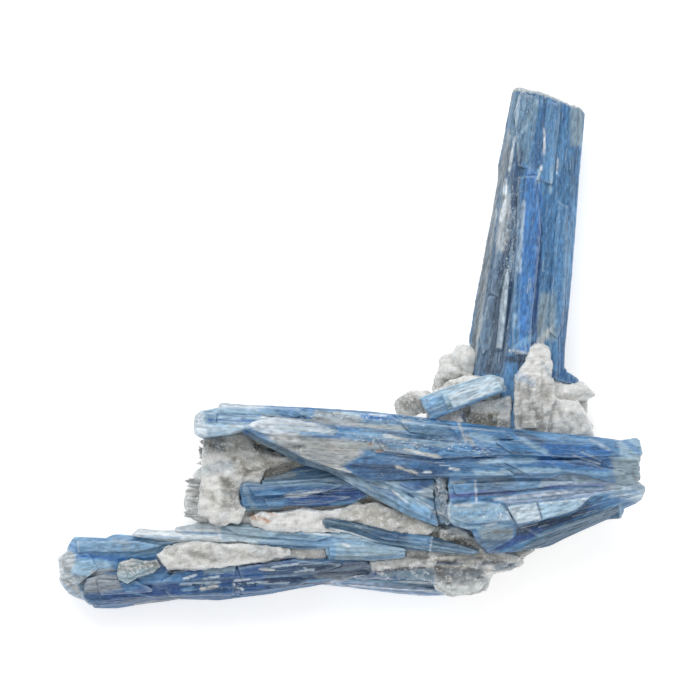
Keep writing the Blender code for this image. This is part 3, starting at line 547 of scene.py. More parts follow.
def quartzFinish(name, clear):
    finish = Finish(name)
    tone = finish.attribute("tone")
    powder = finish.attribute("tone", 3)
    place = finish.add("ShaderNodeTexCoord", None, None, 3)
    clouds = finish.noise(place, (340, 340, 340), 4.0, 0.6)
    grains = finish.noise(place, (1500, 1500, 1500), 3.0, 0.7)
    bent = finish.add("ShaderNodeVectorMath", {"operation": "MULTIPLY"}, {0: place, 1: (520, 1150, 900)})
    sockets = {"Vector": bent, "Scale": 1.0, "Randomness": 1.0}
    flats = finish.add("ShaderNodeTexVoronoi", {"feature": "F1"}, sockets, 1)
    ridges = finish.add("ShaderNodeTexVoronoi", {"feature": "F1"}, sockets, 0)
    hollow = finish.between(clouds, 0.50, 0.34) * 0.26 + finish.between(flats, 0.60, 0.25) * 0.16
    darker = finish.mix(hollow, tone, quartzTints["shade"], "MULTIPLY")
    sugar = finish.between(grains * 0.7 + flats * 0.3 + powder * 0.2, 0.52, 0.64)
    colour = finish.mix(sugar * 0.5, darker, quartzTints["sugar"])
    relief = finish.bumps(clouds * 0.4 + grains * 0.2 + ridges * 0.5, 0.4, 0.0005)
    finish.set(Base_Color=colour, Roughness=0.14 + grains * 0.25, Normal=relief)
    finish.set(IOR=1.544, Specular_IOR_Level=0.45, Transmission_Weight=clear)
    finish.set(Subsurface_Weight=0.45, Subsurface_Scale=0.003, Subsurface_Radius=(1.0, 0.97, 0.93))
    return finish.material


# Crystals

def dressed(mesh, name, nodeName, material):
    piece = pieceFrom(mesh, name)
    mesh.materials.append(material)
    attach(piece, "root")
    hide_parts(nodeName)
    print(nodeName, len(mesh.polygons), "faces")


def crystal(nodeName, look):
    mesh = fineSkin(nodeCopy(nodeName), nodeName, look["voxel"])
    grain = Grain(look["left"], look["right"])
    worn(mesh, grain, look)
    splintered(mesh, grain, look)
    painted(mesh, grain.flow(coordinates(mesh)), look)
    mesh.shade_smooth()
    mesh.set_sharp_from_angle(angle=math.radians(38))
    dressed(mesh, nodeName + "_crystal", nodeName, kyaniteFinish(nodeName + "_finish", look))


# A look's voxel, the size of the skin's mesh, and its relief, the depth of its wear, are in mm.
# left and right are the side lines that the fibres run between, each from root to tip.
# A patch is colour, outline, feather, strength and rise.
# A stroke is colour, start (x, y, half width), end (x, y, half width) and strength.

tallLook = {
    "voxel": 0.27, "relief": 0.13, "grain": 1.0, "slivers": 60, "ragged": 0.8, "seed": 3, "ground": "mid",
    "left": ((28.0, -6.0), (37.6, 60.0)), "right": ((50.2, -6.0), (54.8, 57.0)),
    "patches": [
        ("steel", ((27.5, -6), (36, -6), (38.6, 18), (39.8, 33), (38.6, 44), (37.4, 50), (34.5, 42),
                   (30.5, 18)), 0.5, 0.75, 0),
        ("dusk", ((36.9, 50), (38, 61), (41.8, 60.5), (44.2, 57), (43.2, 50), (41.4, 42.6),
                  (38.6, 44)), 0.3, 0.8, 0.25),
        # painted shade: the lower lath beside the raised one, darkened where it lies in its shade
        ("deep", ((42, 42.4), (45, 41.6), (45.4, 50), (44.6, 57), (43.4, 50)), 0.4, 0.7, 0),
        ("bright", ((39, -1.2), (42.1, -1.5), (44.2, 20), (45.2, 33), (44.4, 39.6), (42.4, 42.4),
                    (41.2, 42.6), (40.3, 33), (39.4, 15)), 0.3, 0.9, 0.4),
        ("sage", ((51.3, 47), (54.2, 47), (54.8, 56), (51.6, 57)), 0.5, 0.7, 0),
        ("deep", ((51.3, 38), (53.3, 38), (53.6, 47.3), (51.7, 47.3)), 0.4, 0.55, 0),
        ("ice", ((36, 18.6), (37.2, 18.4), (37.2, 16), (36.4, 8), (35.5, -0.2), (34.2, 0), (35, 8),
                 (35.5, 14)), 0.2, 1, 0.35),
        ("sage", ((42.4, 2), (48.2, 1.6), (47.8, 12.5), (44.4, 13)), 0.8, 0.75, 0),
        ("deep", ((48.2, -7), (50.4, -7), (50.6, 8), (48.8, 9)), 0.4, 0.75, 0),
        ("cream", ((38, 61), (44.5, 60.2), (49.5, 58.2), (55, 56.2), (54.6, 55.4), (49.3, 57.4),
                   (44.3, 59.3), (38, 60.2)), 0.2, 0.85, 0),
    ],
    "strokes": [
        ("dark", (32.6, -6, 1.2), (36.2, 22, 1.1), 0.65), ("dark", (36.2, 50, 0.3), (38.1, 60, 0.3), 0.6),
        ("grey", (28.4, -3, 0.8), (34.4, 40, 0.8), 0.9),
        ("stone", (29.4, -1, 0.35), (34.2, 32, 0.35), 0.6),
        ("stone", (35.6, 26, 1.5), (36.2, 33.4, 1.3), 0.75),
        ("grey", (35.6, 40, 1), (36.8, 49, 0.9), 0.8),
        ("white", (37.2, 42, 0.35), (38.4, 48.8, 0.35), 0.8),
        ("white", (35.7, 30.8, 0.6), (36.2, 33.4, 0.5), 0.9),
        ("white", (36.2, 37, 0.5), (36.3, 38.6, 0.4), 0.9),
        ("ice", (39.4, 18.5, 0.5), (40.4, 33, 0.5), 0.6), ("navy", (38.6, 35, 1), (39.4, 44, 1), 0.85),
        ("navy", (35.6, 19.5, 1), (37.8, 24.5, 1), 0.7), ("pale", (40.5, 51, 0.5), (43.2, 57, 0.5), 0.6),
        ("ice", (38.8, 52, 0.3), (39.4, 58, 0.3), 0.6), ("deep", (40, 59.6, 0.25), (44, 58.7, 0.25), 0.7),
        ("navy", (45.1, 51.3, 0.3), (45.6, 57.4, 0.3), 0.7),
        # painted highlight: white lines along the lit edge of the raised lath
        ("white", (45.3, 45.5, 0.22), (45.3, 51, 0.22), 0.85),
        ("white", (44.6, 42, 0.25), (43.8, 39.6, 0.25), 0.8),
        ("white", (48.3, 41, 0.25), (48.4, 43.6, 0.25), 0.8),
        ("pale", (46.8, 37, 0.4), (46.9, 41.5, 0.4), 0.6),
        ("deep", (47.2, 35, 0.7), (48.6, 38, 0.7), 0.5), ("deep", (46.4, 24, 0.5), (47, 34, 0.6), 0.35),
        ("sky", (50.6, 12, 1), (52.4, 32, 0.9), 0.3), ("sky", (47, 44, 1), (48, 56, 0.9), 0.35),
        ("royal", (42.9, 2, 0.6), (44.1, 28, 0.6), 0.85), ("pale", (44, 39.2, 0.5), (44.1, 41, 0.4), 0.6),
        ("sky", (39, 0.4, 0.9), (41, 1.4, 1), 0.8), ("white", (37.6, -0.6, 0.5), (41.8, -1.5, 0.4), 0.8),
        # painted shadow: dark ink just below the raised end of the bright lath, where it casts its shadow
        ("ink", (38.6, -2.6, 0.9), (41.8, -2.6, 0.8), 0.85),
        ("ink", (39.5, -3.6, 0.4), (39.5, -5.8, 0.4), 0.8),
        ("navy", (36.6, 0, 0.5), (37.6, 15.5, 0.5), 0.75),
        ("pale", (38.2, 5.6, 0.6), (38.3, 6.6, 0.6), 0.7),
        ("smoke", (44.4, 5.4, 0.5), (44.4, 6.6, 0.5), 0.6),
        ("dusk", (46.2, 5, 0.5), (46.8, 12, 0.5), 0.6), ("cream", (44.6, 1.6, 0.9), (46, 3.6, 0.9), 0.6),
        ("mid", (36.8, -8, 1.5), (36.6, -18.4, 1.6), 0.85),
        ("sky", (36.2, -10, 0.5), (36.2, -14, 0.5), 0.6),
        ("deep", (47.6, -6.4, 1.2), (52.6, -8, 1), 0.85), ("frost", (37, 20, 2.4), (37.4, 36, 1.8), 0.5),
        ("frost", (38.4, 50, 1.6), (42.4, 58, 1.6), 0.4),
    ],
}
crystal("tall_blade", tallLook)

crossLook = {
    "voxel": 0.16, "relief": 0.1, "grain": 0.8, "slivers": 12, "ragged": 0.6, "seed": 5,
    "ground": "pale", "frost": 0.25,
    "left": ((16.4, -11.7), (34.7, -5.6)), "right": ((18.4, -17.0), (36.6, -9.9)),
    "patches": [
        ("sky", ((15.8, -11), (21.2, -10.8), (22.8, -14.4), (21.6, -17), (17.4, -18)), 0.3, 0.75, 0.15),
        ("ice", ((22.6, -10.6), (34, -6), (36, -8.6), (24.2, -14)), 0.5, 0.8, 0),
    ],
    "strokes": [
        ("sky", (22.4, -14.9, 0.5), (35.6, -9.9, 0.5), 0.8),
        ("bright", (20.4, -16.2, 0.3), (30, -12.6, 0.3), 0.6),
        ("white", (24, -11.2, 0.3), (32, -8.4, 0.3), 0.7),
        ("white", (26, -12.6, 0.25), (33, -10, 0.25), 0.6),
        ("mid", (21.1, -11, 0.2), (22.8, -14.6, 0.2), 0.7),
        ("grey", (34.6, -7.4, 0.5), (36.2, -9.4, 0.5), 0.6),
    ],
}
crystal("cross_blade", crossLook)

upperLook = {
    "voxel": 0.28, "relief": 0.15, "grain": 1.0, "slivers": 80, "ragged": 1.2, "seed": 8, "ground": "mid",
    "left": ((-36.0, -12.8), (69.0, -21.3)), "right": ((-36.0, -31.0), (69.0, -32.0)),
    "patches": [
        # the pale left end is partly its own pale colour and partly painted sheen from broad cleavage faces
        ("pale", ((-37, -12), (-20, -12), (-16, -16), (-22, -17.4), (-26, -21),
                  (-37, -21)), 0.5, 0.85, 0),
        ("white", ((-37, -12.4), (-34.6, -12.4), (-33.2, -20.8), (-37, -20.8)), 0.3, 0.7, 0),
        ("white", ((-24.4, -18.2), (-23, -17), (-20, -15.9), (-14, -16.4), (-8, -17.5), (-3, -19.2),
                   (-4, -20.4), (-14, -20.6), (-20, -20)), 0.3, 0.85, 0.35),
        ("sand", ((-20, -20.2), (-4, -20.7), (5, -22), (2.4, -25.2), (-1.6, -27.4), (-3, -29),
                  (-4, -28.6), (-11, -25.6), (-17, -22.6)), 0.9, 0.9, 0),
        ("sand", ((-8, -14.4), (3, -15.4), (3, -18.4), (-3, -18.2), (-9, -17)), 0.5, 0.75, 0),
        ("dusk", ((2, -17), (22, -17.5), (25, -22), (20, -24), (2, -24)), 0.6, 0.7, 0),
        ("deep", ((-2.6, -30.4), (-1.4, -27.6), (2.4, -25.4), (10, -24.8), (22, -25), (24, -29),
                  (12, -31.4), (1, -31)), 0.6, 0.85, -0.2),
        ("deep", ((22, -25), (36, -24.4), (36, -27.4), (22, -28.6)), 0.5, 0.7, 0),
        ("azure", ((44, -21.6), (60, -22.4), (62, -28), (44, -27.4)), 0.6, 0.75, 0),
        ("pale", ((62, -20), (70, -20), (70, -26), (63, -26.4)), 0.5, 0.75, 0),
        ("sage", ((60.6, -25.6), (70, -24.8), (70, -33), (62, -32)), 0.6, 0.85, 0),
    ],
    "strokes": [
        ("white", (-30, -13.5, 0.6), (-21, -14, 0.6), 0.8),
        ("mid", (-33, -15.6, 0.25), (-19, -15.6, 0.25), 0.7),
        ("azure", (-32.4, -16.8, 0.35), (-22.5, -16.9, 0.35), 0.9),
        ("white", (-28, -18, 0.4), (-25, -18, 0.4), 0.7),
        ("ice", (-33, -18.6, 0.8), (-27, -19.4, 0.8), 0.6),
        ("sky", (-20, -14.4, 0.7), (-11, -15, 0.7), 0.7),
        ("smoke", (-20, -15.7, 0.25), (-5, -17.3, 0.3), 0.75),
        ("ice", (-15, -18.6, 0.9), (-5, -19.4, 0.8), 0.7),
        ("sky", (-11, -19.9, 0.4), (-4, -20.4, 0.4), 0.8),
        ("bright", (-8, -20.6, 0.3), (-2.6, -20.8, 0.3), 0.7),
        ("cream", (-11, -25.5, 0.45), (-0.6, -28.7, 0.45), 0.8),
        ("smoke", (-14, -22.2, 0.3), (-11, -23, 0.3), 0.6),
        ("cream", (-18, -20.8, 0.4), (-12, -21.6, 0.4), 0.6),
        ("grey", (-9, -24, 0.4), (0, -26, 0.4), 0.6), ("pale", (0, -15.2, 0.6), (3.5, -15.8, 0.6), 0.7),
        ("bright", (4, -16, 0.8), (10.5, -16.6, 0.7), 0.75),
        ("white", (5, -15.5, 0.25), (8, -15.8, 0.25), 0.7),
        ("sky", (11, -16.8, 0.6), (18, -17.4, 0.6), 0.6),
        ("beige", (3, -18, 0.45), (12, -18.8, 0.45), 0.7),
        ("cream", (12.4, -17, 0.35), (14, -17.1, 0.35), 0.8),
        ("navy", (5, -19.4, 0.3), (13, -20, 0.3), 0.7),
        ("navy", (14, -20.4, 0.35), (23.5, -21.8, 0.35), 0.75),
        ("sky", (0, -19.9, 0.7), (9, -20.6, 0.6), 0.7), ("cream", (9, -20.6, 0.5), (13, -21.2, 0.4), 0.8),
        ("royal", (7, -21.6, 0.3), (17, -22.8, 0.3), 0.8),
        ("royal", (17, -22.8, 0.3), (21, -24, 0.3), 0.7), ("sand", (0, -22.4, 0.9), (7, -23.2, 0.9), 0.7),
        ("cream", (13.5, -23.8, 0.45), (20, -25.2, 0.45), 0.85),
        ("grey", (8, -23.6, 0.7), (14, -24.4, 0.7), 0.6),
        ("rust", (4.5, -22.3, 0.3), (4.8, -22.3, 0.3), 0.8),
        ("orange", (6.5, -24, 0.22), (6.8, -24, 0.22), 0.6),
        ("navy", (2, -27.6, 0.9), (20, -29.4, 0.9), 0.6), ("mid", (2, -26.2, 0.4), (14, -26.6, 0.4), 0.5),
        ("sky", (6, -25.2, 0.35), (12, -25.6, 0.35), 0.5),
        ("cream", (11.4, -27.8, 0.35), (15, -29, 0.35), 0.95),
        ("white", (17.6, -28.9, 0.3), (18.4, -28.9, 0.3), 0.8),
        ("white", (23.6, -28, 0.35), (24.6, -28.2, 0.35), 0.8),
        ("pale", (30, -29, 0.7), (35, -29.2, 0.7), 0.8),
        ("pale", (31, -26.4, 0.45), (42, -26.2, 0.5), 0.75),
        ("sky", (22.6, -16.4, 0.6), (24.2, -18.4, 0.6), 0.7),
        ("deep", (23.4, -18.6, 0.45), (25.4, -21.4, 0.45), 0.8),
        ("stone", (25.4, -17.6, 0.4), (26.8, -21.4, 0.4), 0.7),
        ("beige", (27.2, -20.2, 0.5), (28.4, -22.2, 0.5), 0.7),
        ("pale", (28.6, -20.2, 0.7), (33, -21.4, 0.7), 0.7),
        ("royal", (29, -23.2, 0.35), (36, -24.4, 0.35), 0.85),
        ("sky", (24, -23.4, 0.5), (29, -24.4, 0.5), 0.5),
        ("navy", (39.4, -19.8, 0.7), (44, -21.4, 0.7), 0.75),
        ("pale", (41, -22, 0.7), (45, -24, 0.7), 0.7),
        ("navy", (36, -24.3, 0.25), (42, -24.4, 0.25), 0.7),
        ("sky", (46, -20.8, 0.7), (58, -22.2, 0.7), 0.5),
        ("deep", (50, -25.6, 0.9), (59, -27.2, 0.9), 0.8),
        ("navy", (51, -26.6, 0.35), (58, -27.6, 0.35), 0.7),
        ("white", (52, -25, 0.22), (58, -27, 0.22), 0.6),
        ("ice", (54, -24.3, 0.22), (58, -26, 0.22), 0.6),
        ("ice", (56.5, -21.6, 0.4), (59.5, -23.2, 0.4), 0.5),
        ("bright", (65, -22.6, 0.6), (66.4, -23.6, 0.6), 0.6),
        ("smoke", (66, -29.6, 0.4), (66.4, -30.4, 0.4), 0.6),
        ("rust", (51.6, -29.3, 0.3), (52, -29.3, 0.3), 0.8),
        ("pale", (36, -28.6, 0.6), (48, -28.6, 0.6), 0.7), ("sky", (46, -29, 0.5), (60, -29.4, 0.6), 0.6),
        ("frost", (2, -21.4, 1.6), (30, -23.4, 1.6), 0.5),
        ("frost", (-12, -15.4, 1), (20, -17, 1.2), 0.5),
    ],
}
crystal("upper_blade", upperLook)

fanLook = {
    "voxel": 0.26, "relief": 0.13, "grain": 1.0, "slivers": 50, "ragged": 0.9, "seed": 13, "ground": "mid",
    "left": ((23.0, -29.4), (70.5, -30.6)), "right": ((36.0, -51.5), (69.8, -35.2)),
    "patches": [
        ("sky", ((21, -29), (46, -29), (46, -32.4), (22, -35.8)), 0.5, 0.7, 0),
        ("steel", ((29.8, -29.6), (38, -30.2), (40, -32.8), (30, -33.6)), 0.6, 0.6, 0),
        # painted sheen: a pale band of reflected light across the fan below the upper blade
        ("ice", ((44.6, -30.6), (50, -28.8), (56, -28.8), (61, -30.2), (63.4, -31.8), (50, -32.2),
                 (44, -32.2)), 0.4, 0.75, 0),
        ("mist", ((33, -35), (46, -33.2), (64, -31.9), (64.6, -32.8), (56, -34.6),
                  (37, -36.4)), 0.3, 0.8, 0.15),
        ("pale", ((22.4, -36.4), (30, -35.8), (35.4, -36.6), (37.4, -38.4), (38.6, -40.8), (34, -42.4),
                  (27, -42.2), (22.8, -40.6)), 0.4, 0.85, 0.2),
        ("ice", ((36.6, -36.8), (43.4, -36), (44.6, -39.9), (38.8, -40.9), (37.2, -38.6)), 0.2, 1, 0.45),
        ("pale", ((43.8, -36), (56.4, -34.7), (53, -37.4), (50.4, -38.7), (44.9, -39.8)), 0.2, 0.95, 0.4),
        ("sage", ((29.5, -42.3), (38, -42), (38, -44.8), (31, -44.8)), 0.4, 0.8, 0),
        ("steel", ((28, -44.6), (38, -44.6), (34, -48), (29, -47)), 0.4, 0.6, 0),
        ("navy", ((38.8, -41.6), (45, -40.2), (51.5, -38.9), (56.5, -35.4), (59, -34.4), (58, -37.4),
                  (48, -41.4), (38, -46)), 0.3, 1, 0),
        ("teal", ((38, -48), (45, -43), (60, -37), (63, -37), (63, -40), (58, -41),
                  (46, -46.4)), 0.4, 0.9, 0),
        ("ice", ((59.5, -31), (70, -31), (70, -36.4), (60.5, -34.6)), 0.9, 0.85, 0),
    ],
    "strokes": [
        ("violet", (23, -34.5, 0.7), (37, -33.4, 0.6), 0.85),
        ("navy", (30, -34, 0.3), (46, -32.5, 0.25), 0.7),
        ("violet", (46, -32.3, 0.25), (63, -31.5, 0.2), 0.75),
        ("white", (29.2, -31, 0.25), (29.4, -35.6, 0.25), 0.6),
        ("steel", (38, -35.6, 0.25), (63, -32.7, 0.2), 0.75),
        ("steel", (36, -34.8, 0.2), (60, -32.4, 0.2), 0.5),
        ("white", (34, -35.3, 0.3), (50, -33.6, 0.25), 0.6),
        ("white", (45, -36.1, 0.25), (55, -35.1, 0.2), 0.7),
        ("steel", (43.5, -36.2, 0.16), (44.6, -39.6, 0.16), 0.85),
        ("steel", (36, -37, 0.25), (38.4, -40.6, 0.25), 0.6),
        ("white", (25, -36.7, 0.4), (28, -36.6, 0.35), 0.8),
        ("white", (22.9, -36.6, 0.4), (23, -40.4, 0.35), 0.8),
        ("sky", (25, -38.6, 0.6), (36, -38.4, 0.6), 0.6),
        ("mid", (28, -40.8, 0.5), (37, -40.6, 0.5), 0.6), ("mid", (24, -41, 0.3), (34, -41.5, 0.3), 0.5),
        ("white", (32.4, -41.2, 0.4), (33.6, -40.9, 0.3), 0.7),
        ("smoke", (34, -42.6, 0.5), (37.4, -42.9, 0.5), 0.6),
        ("royal", (32.8, -47.6, 0.5), (44, -42.6, 0.7), 0.9),
        ("mid", (56, -36, 0.7), (63, -35.4, 0.9), 0.7),
        ("bright", (56, -37.6, 0.4), (62, -35.6, 0.4), 0.5),
        ("sky", (58, -34.2, 0.4), (66, -33.4, 0.5), 0.7),
        ("pale", (63, -37, 0.3), (63.2, -39.4, 0.3), 0.7),
        ("rust", (44.4, -30, 0.25), (46.2, -30.3, 0.25), 0.6),
        ("smoke", (22.6, -34, 0.3), (22.6, -36, 0.3), 0.5),
        ("stone", (39, -48.2, 0.6), (43, -47.6, 0.7), 0.7),
        ("cream", (23.8, -31.3, 0.22), (26.4, -31.2, 0.22), 0.8),
        ("frost", (38, -38.4, 1.8), (52, -36.4, 1.4), 0.5),
        ("frost", (23, -38, 1.2), (36, -39, 1.6), 0.4),
    ],
}
crystal("fan_blade", fanLook)

slantLook = {
    "voxel": 0.19, "relief": 0.1, "grain": 0.9, "slivers": 16, "ragged": 0.7, "seed": 17, "ground": "dusk",
    "left": ((-25.0, -16.5), (26.0, -33.0)), "right": ((-28.0, -20.6), (18.0, -43.8)),
    "patches": [
        # painted shade: the steep left end, which faces away from the light, is laid dark teal
        ("teal", ((-27, -17.6), (-24, -17), (-16, -22.6), (-10, -24.6), (-10.4, -27.4), (-20, -23.6),
                  (-26, -20)), 0.3, 0.85, 0),
        ("steel", ((-10.4, -24.6), (1, -28), (1, -31), (-10, -27.8)), 0.4, 0.7, 0),
        ("pale", ((-1, -30), (14, -31), (20, -38.6), (16, -40), (6, -34.6), (-1, -31.8)), 0.6, 0.85, 0),
        ("azure", ((11, -31), (19, -31), (17, -33.4), (12.4, -33.4)), 0.5, 0.7, 0),
        ("ice", ((15.6, -33.4), (20.4, -31.6), (22.8, -34), (22.6, -38.8), (20.2, -38.6),
                 (19.6, -34.6), (17, -35)), 0.3, 0.75, 0),
        ("sky", ((12, -35.4), (20, -38.2), (20.4, -41.8), (10, -37.4)), 0.5, 0.75, 0),
    ],
    "strokes": [
        ("azure", (-26.4, -18.2, 0.6), (-24.4, -19.4, 0.5), 0.9),
        ("sage", (-23, -21.2, 0.3), (-13, -25.4, 0.3), 0.6),
        ("ink", (-16, -23.4, 0.25), (-10.6, -25.4, 0.25), 0.6),
        ("navy", (-6, -27.4, 0.3), (0, -29, 0.3), 0.6),
        ("ice", (-3, -28.4, 0.22), (-1, -28.9, 0.22), 0.6),
        ("ice", (0, -31.4, 0.4), (5, -33.2, 0.4), 0.7),
        ("bright", (5.6, -32.2, 0.6), (10, -34, 0.6), 0.6),
        ("white", (10.4, -33.6, 0.35), (13, -35.6, 0.35), 0.8),
        ("white", (5, -31.8, 0.25), (8.6, -32.6, 0.25), 0.6),
        ("deep", (14.2, -34.4, 0.35), (19.4, -37.3, 0.35), 0.85),
        ("ice", (15.4, -35, 0.22), (19, -37.2, 0.22), 0.8),
        ("navy", (20.8, -33.6, 0.6), (21.4, -36.6, 0.7), 0.85),
        # painted highlights: white glints in the crystal pocket
        ("white", (20.2, -38.2, 0.4), (22.4, -38.3, 0.35), 0.95),
        ("white", (22.4, -34.9, 0.3), (22.7, -35.1, 0.3), 0.95),
        ("steel", (20.4, -39.2, 0.9), (22.2, -41.4, 0.8), 0.8),
        ("mid", (2, -32.2, 0.4), (12, -36.6, 0.4), 0.6),
    ],
}
crystal("slant_blade", slantLook)

middleLook = {
    "voxel": 0.2, "relief": 0.15, "grain": 0.9, "slivers": 20, "ragged": 1.0, "seed": 19,
    "ground": "deep", "gloss": 0.24, "lively": 0.6,
    "left": ((-26.0, -30.0), (6.0, -27.5)), "right": ((-26.0, -38.2), (6.0, -37.0)),
    "patches": [
        ("dusk", ((-27, -29), (2, -28), (2, -31.6), (-8, -32.4), (-20, -32.2),
                  (-27, -32.4)), 0.5, 0.85, 0),
        ("mid", ((-27, -32.4), (-18, -32.4), (-14, -34.6), (-16, -38.6), (-27, -38.6)), 0.8, 0.8, 0),
        ("royal", ((-14.6, -34.4), (-7, -32.8), (0, -32.6), (4.6, -34.2), (0, -35.6),
                   (-14, -35.6)), 0.4, 0.9, 0.15),
        ("royal", ((-13, -35.9), (-3.2, -35.4), (-3.4, -36.8), (-12.4, -37)), 0.3, 0.9, 0.1),
    ],
    "strokes": [
        ("haze", (-24, -30.4, 0.8), (-14, -29.6, 0.8), 0.6),
        ("sage", (-24.6, -33, 0.8), (-22.6, -36.8, 0.8), 0.4),
        # painted highlight: a bright glint along the royal blue blade
        ("white", (-14.3, -34.5, 0.42), (-10.6, -34.2, 0.4), 1),
        ("white", (-10.6, -34.1, 0.34), (-7, -33.4, 0.3), 0.95),
        ("sky", (-18.4, -34.2, 0.2), (-15.6, -33.9, 0.2), 0.7),
        ("navy", (-8, -33.3, 0.3), (1, -33.2, 0.3), 0.6),
        ("navy", (-22, -35.4, 0.25), (-15, -35.2, 0.25), 0.5),
        ("sky", (-24, -36.6, 0.25), (-16, -36.2, 0.25), 0.6),
        ("sage", (-24, -37.9, 0.5), (-16, -37.6, 0.5), 0.7),
        ("sky", (-4, -36.4, 0.5), (1.4, -35.8, 0.4), 0.7),
        ("bright", (-12, -36.6, 0.25), (-5, -36.5, 0.25), 0.5),
        ("pale", (-16, -31.2, 0.35), (-4, -30.8, 0.35), 0.4),
    ],
}
crystal("middle_blade", middleLook)

tealLook = {
    "voxel": 0.18, "relief": 0.1, "grain": 0.9, "slivers": 12, "ragged": 0.5, "seed": 23, "ground": "teal",
    "left": ((-7.0, -38.6), (31.0, -45.6)), "right": ((-7.0, -42.6), (31.0, -50.2)),
    "patches": [
        ("deep", ((5.4, -42.4), (17, -43.6), (15, -45.4), (5, -44.8)), 0.5, 0.7, 0),
        ("sky", ((13.4, -43.4), (19.4, -43.4), (19.2, -47.2), (13, -46.6)), 0.6, 0.75, 0.1),
        ("dusk", ((4, -45), (14, -45.6), (18.6, -47.2), (12, -47.6), (4, -46.4)), 0.4, 0.8, 0),
        ("dusk", ((19.5, -44.8), (31.5, -47), (31.5, -48.6), (19, -47.4)), 0.3, 0.85, 0),
        ("haze", ((12, -47.4), (32, -48.2), (32, -51), (12, -50)), 0.5, 0.8, 0),
    ],
    "strokes": [
        ("white", (-4.5, -42.1, 0.25), (0.4, -43.2, 0.22), 0.85),
        ("white", (0.4, -43.2, 0.22), (6, -45.2, 0.25), 0.85),
        ("ice", (19.1, -44.4, 0.22), (18.7, -47, 0.22), 0.9),
        ("ink", (19.4, -44.9, 0.3), (25, -46.2, 0.25), 0.8),
        ("pale", (20, -46.4, 0.25), (28.6, -47.6, 0.25), 0.7),
        ("navy", (20, -45.9, 0.2), (28, -47.3, 0.2), 0.6),
        ("pale", (6, -45.2, 0.25), (17, -46.6, 0.25), 0.6),
        ("navy", (5, -45.8, 0.2), (16, -47, 0.2), 0.6), ("smoke", (13, -48, 0.5), (24, -49.2, 0.4), 0.7),
        ("cream", (17, -48.9, 0.3), (26, -48.4, 0.3), 0.6),
    ],
}
crystal("teal_lath", tealLook)

paleLook = {
    "voxel": 0.19, "relief": 0.1, "grain": 0.9, "slivers": 16, "ragged": 0.7, "seed": 29, "ground": "pale",
    "left": ((-51.0, -40.5), (13.0, -42.5)), "right": ((-51.0, -46.0), (13.0, -49.8)), "lively": 0.7,
    "patches": [
        ("cloud", ((-52, -41), (-30.6, -40), (-29.6, -46), (-52, -46)), 0.5, 0.8, 0),
        ("sage", ((-30, -40), (-20, -41), (-18, -46.2), (-29.6, -46)), 0.6, 0.55, 0),
        ("dusk", ((-16.5, -43), (-13, -42), (-9.4, -43.6), (-8, -44.4), (-19, -44.4)), 0.4, 0.85, 0),
        ("mid", ((-22, -45), (-7.6, -45.2), (-7.6, -46.8), (-20, -46.6)), 0.4, 0.75, 0),
        ("sky", ((-8, -43.6), (-4.8, -43.8), (-3.2, -46.2), (-3.4, -49.6), (-5.2, -49.6),
                 (-5.4, -46.6), (-8, -46.4)), 0.3, 0.75, 0),
        ("sage", ((-3.2, -47), (10, -47.6), (12, -50.4), (-3, -50.2)), 0.5, 0.5, 0),
    ],
    "strokes": [
        ("sky", (-48, -43.9, 0.4), (-40, -44.2, 0.4), 0.5),
        ("white", (-49, -43.1, 0.35), (-40, -43.6, 0.35), 0.6),
        ("sky", (-38, -43.2, 0.5), (-31.4, -43.4, 0.5), 0.5),
        ("white", (-31.2, -41.4, 0.3), (-29.8, -45.4, 0.3), 0.6),
        ("cream", (-38, -45, 0.3), (-31, -44.8, 0.3), 0.5),
        ("white", (-29, -44.9, 0.3), (-22, -45.2, 0.3), 0.6),
        ("sky", (-20, -44.7, 0.35), (-9, -44.8, 0.35), 0.7),
        ("deep", (-13, -46.5, 0.22), (-8, -46.6, 0.22), 0.7),
        ("white", (-10, -42.9, 0.35), (-5, -43.6, 0.3), 0.7),
        ("mid", (-4, -47.6, 0.3), (2, -47.8, 0.3), 0.4), ("sky", (-4, -44.6, 0.6), (8, -46, 0.7), 0.6),
        ("steel", (2, -44.9, 0.22), (7, -46.2, 0.22), 0.6),
        ("white", (-1.2, -45.9, 0.3), (-0.4, -46.1, 0.3), 0.8),
        ("bright", (4, -49.2, 0.3), (12, -48.6, 0.3), 0.5),
    ],
}
crystal("pale_blade", paleLook)

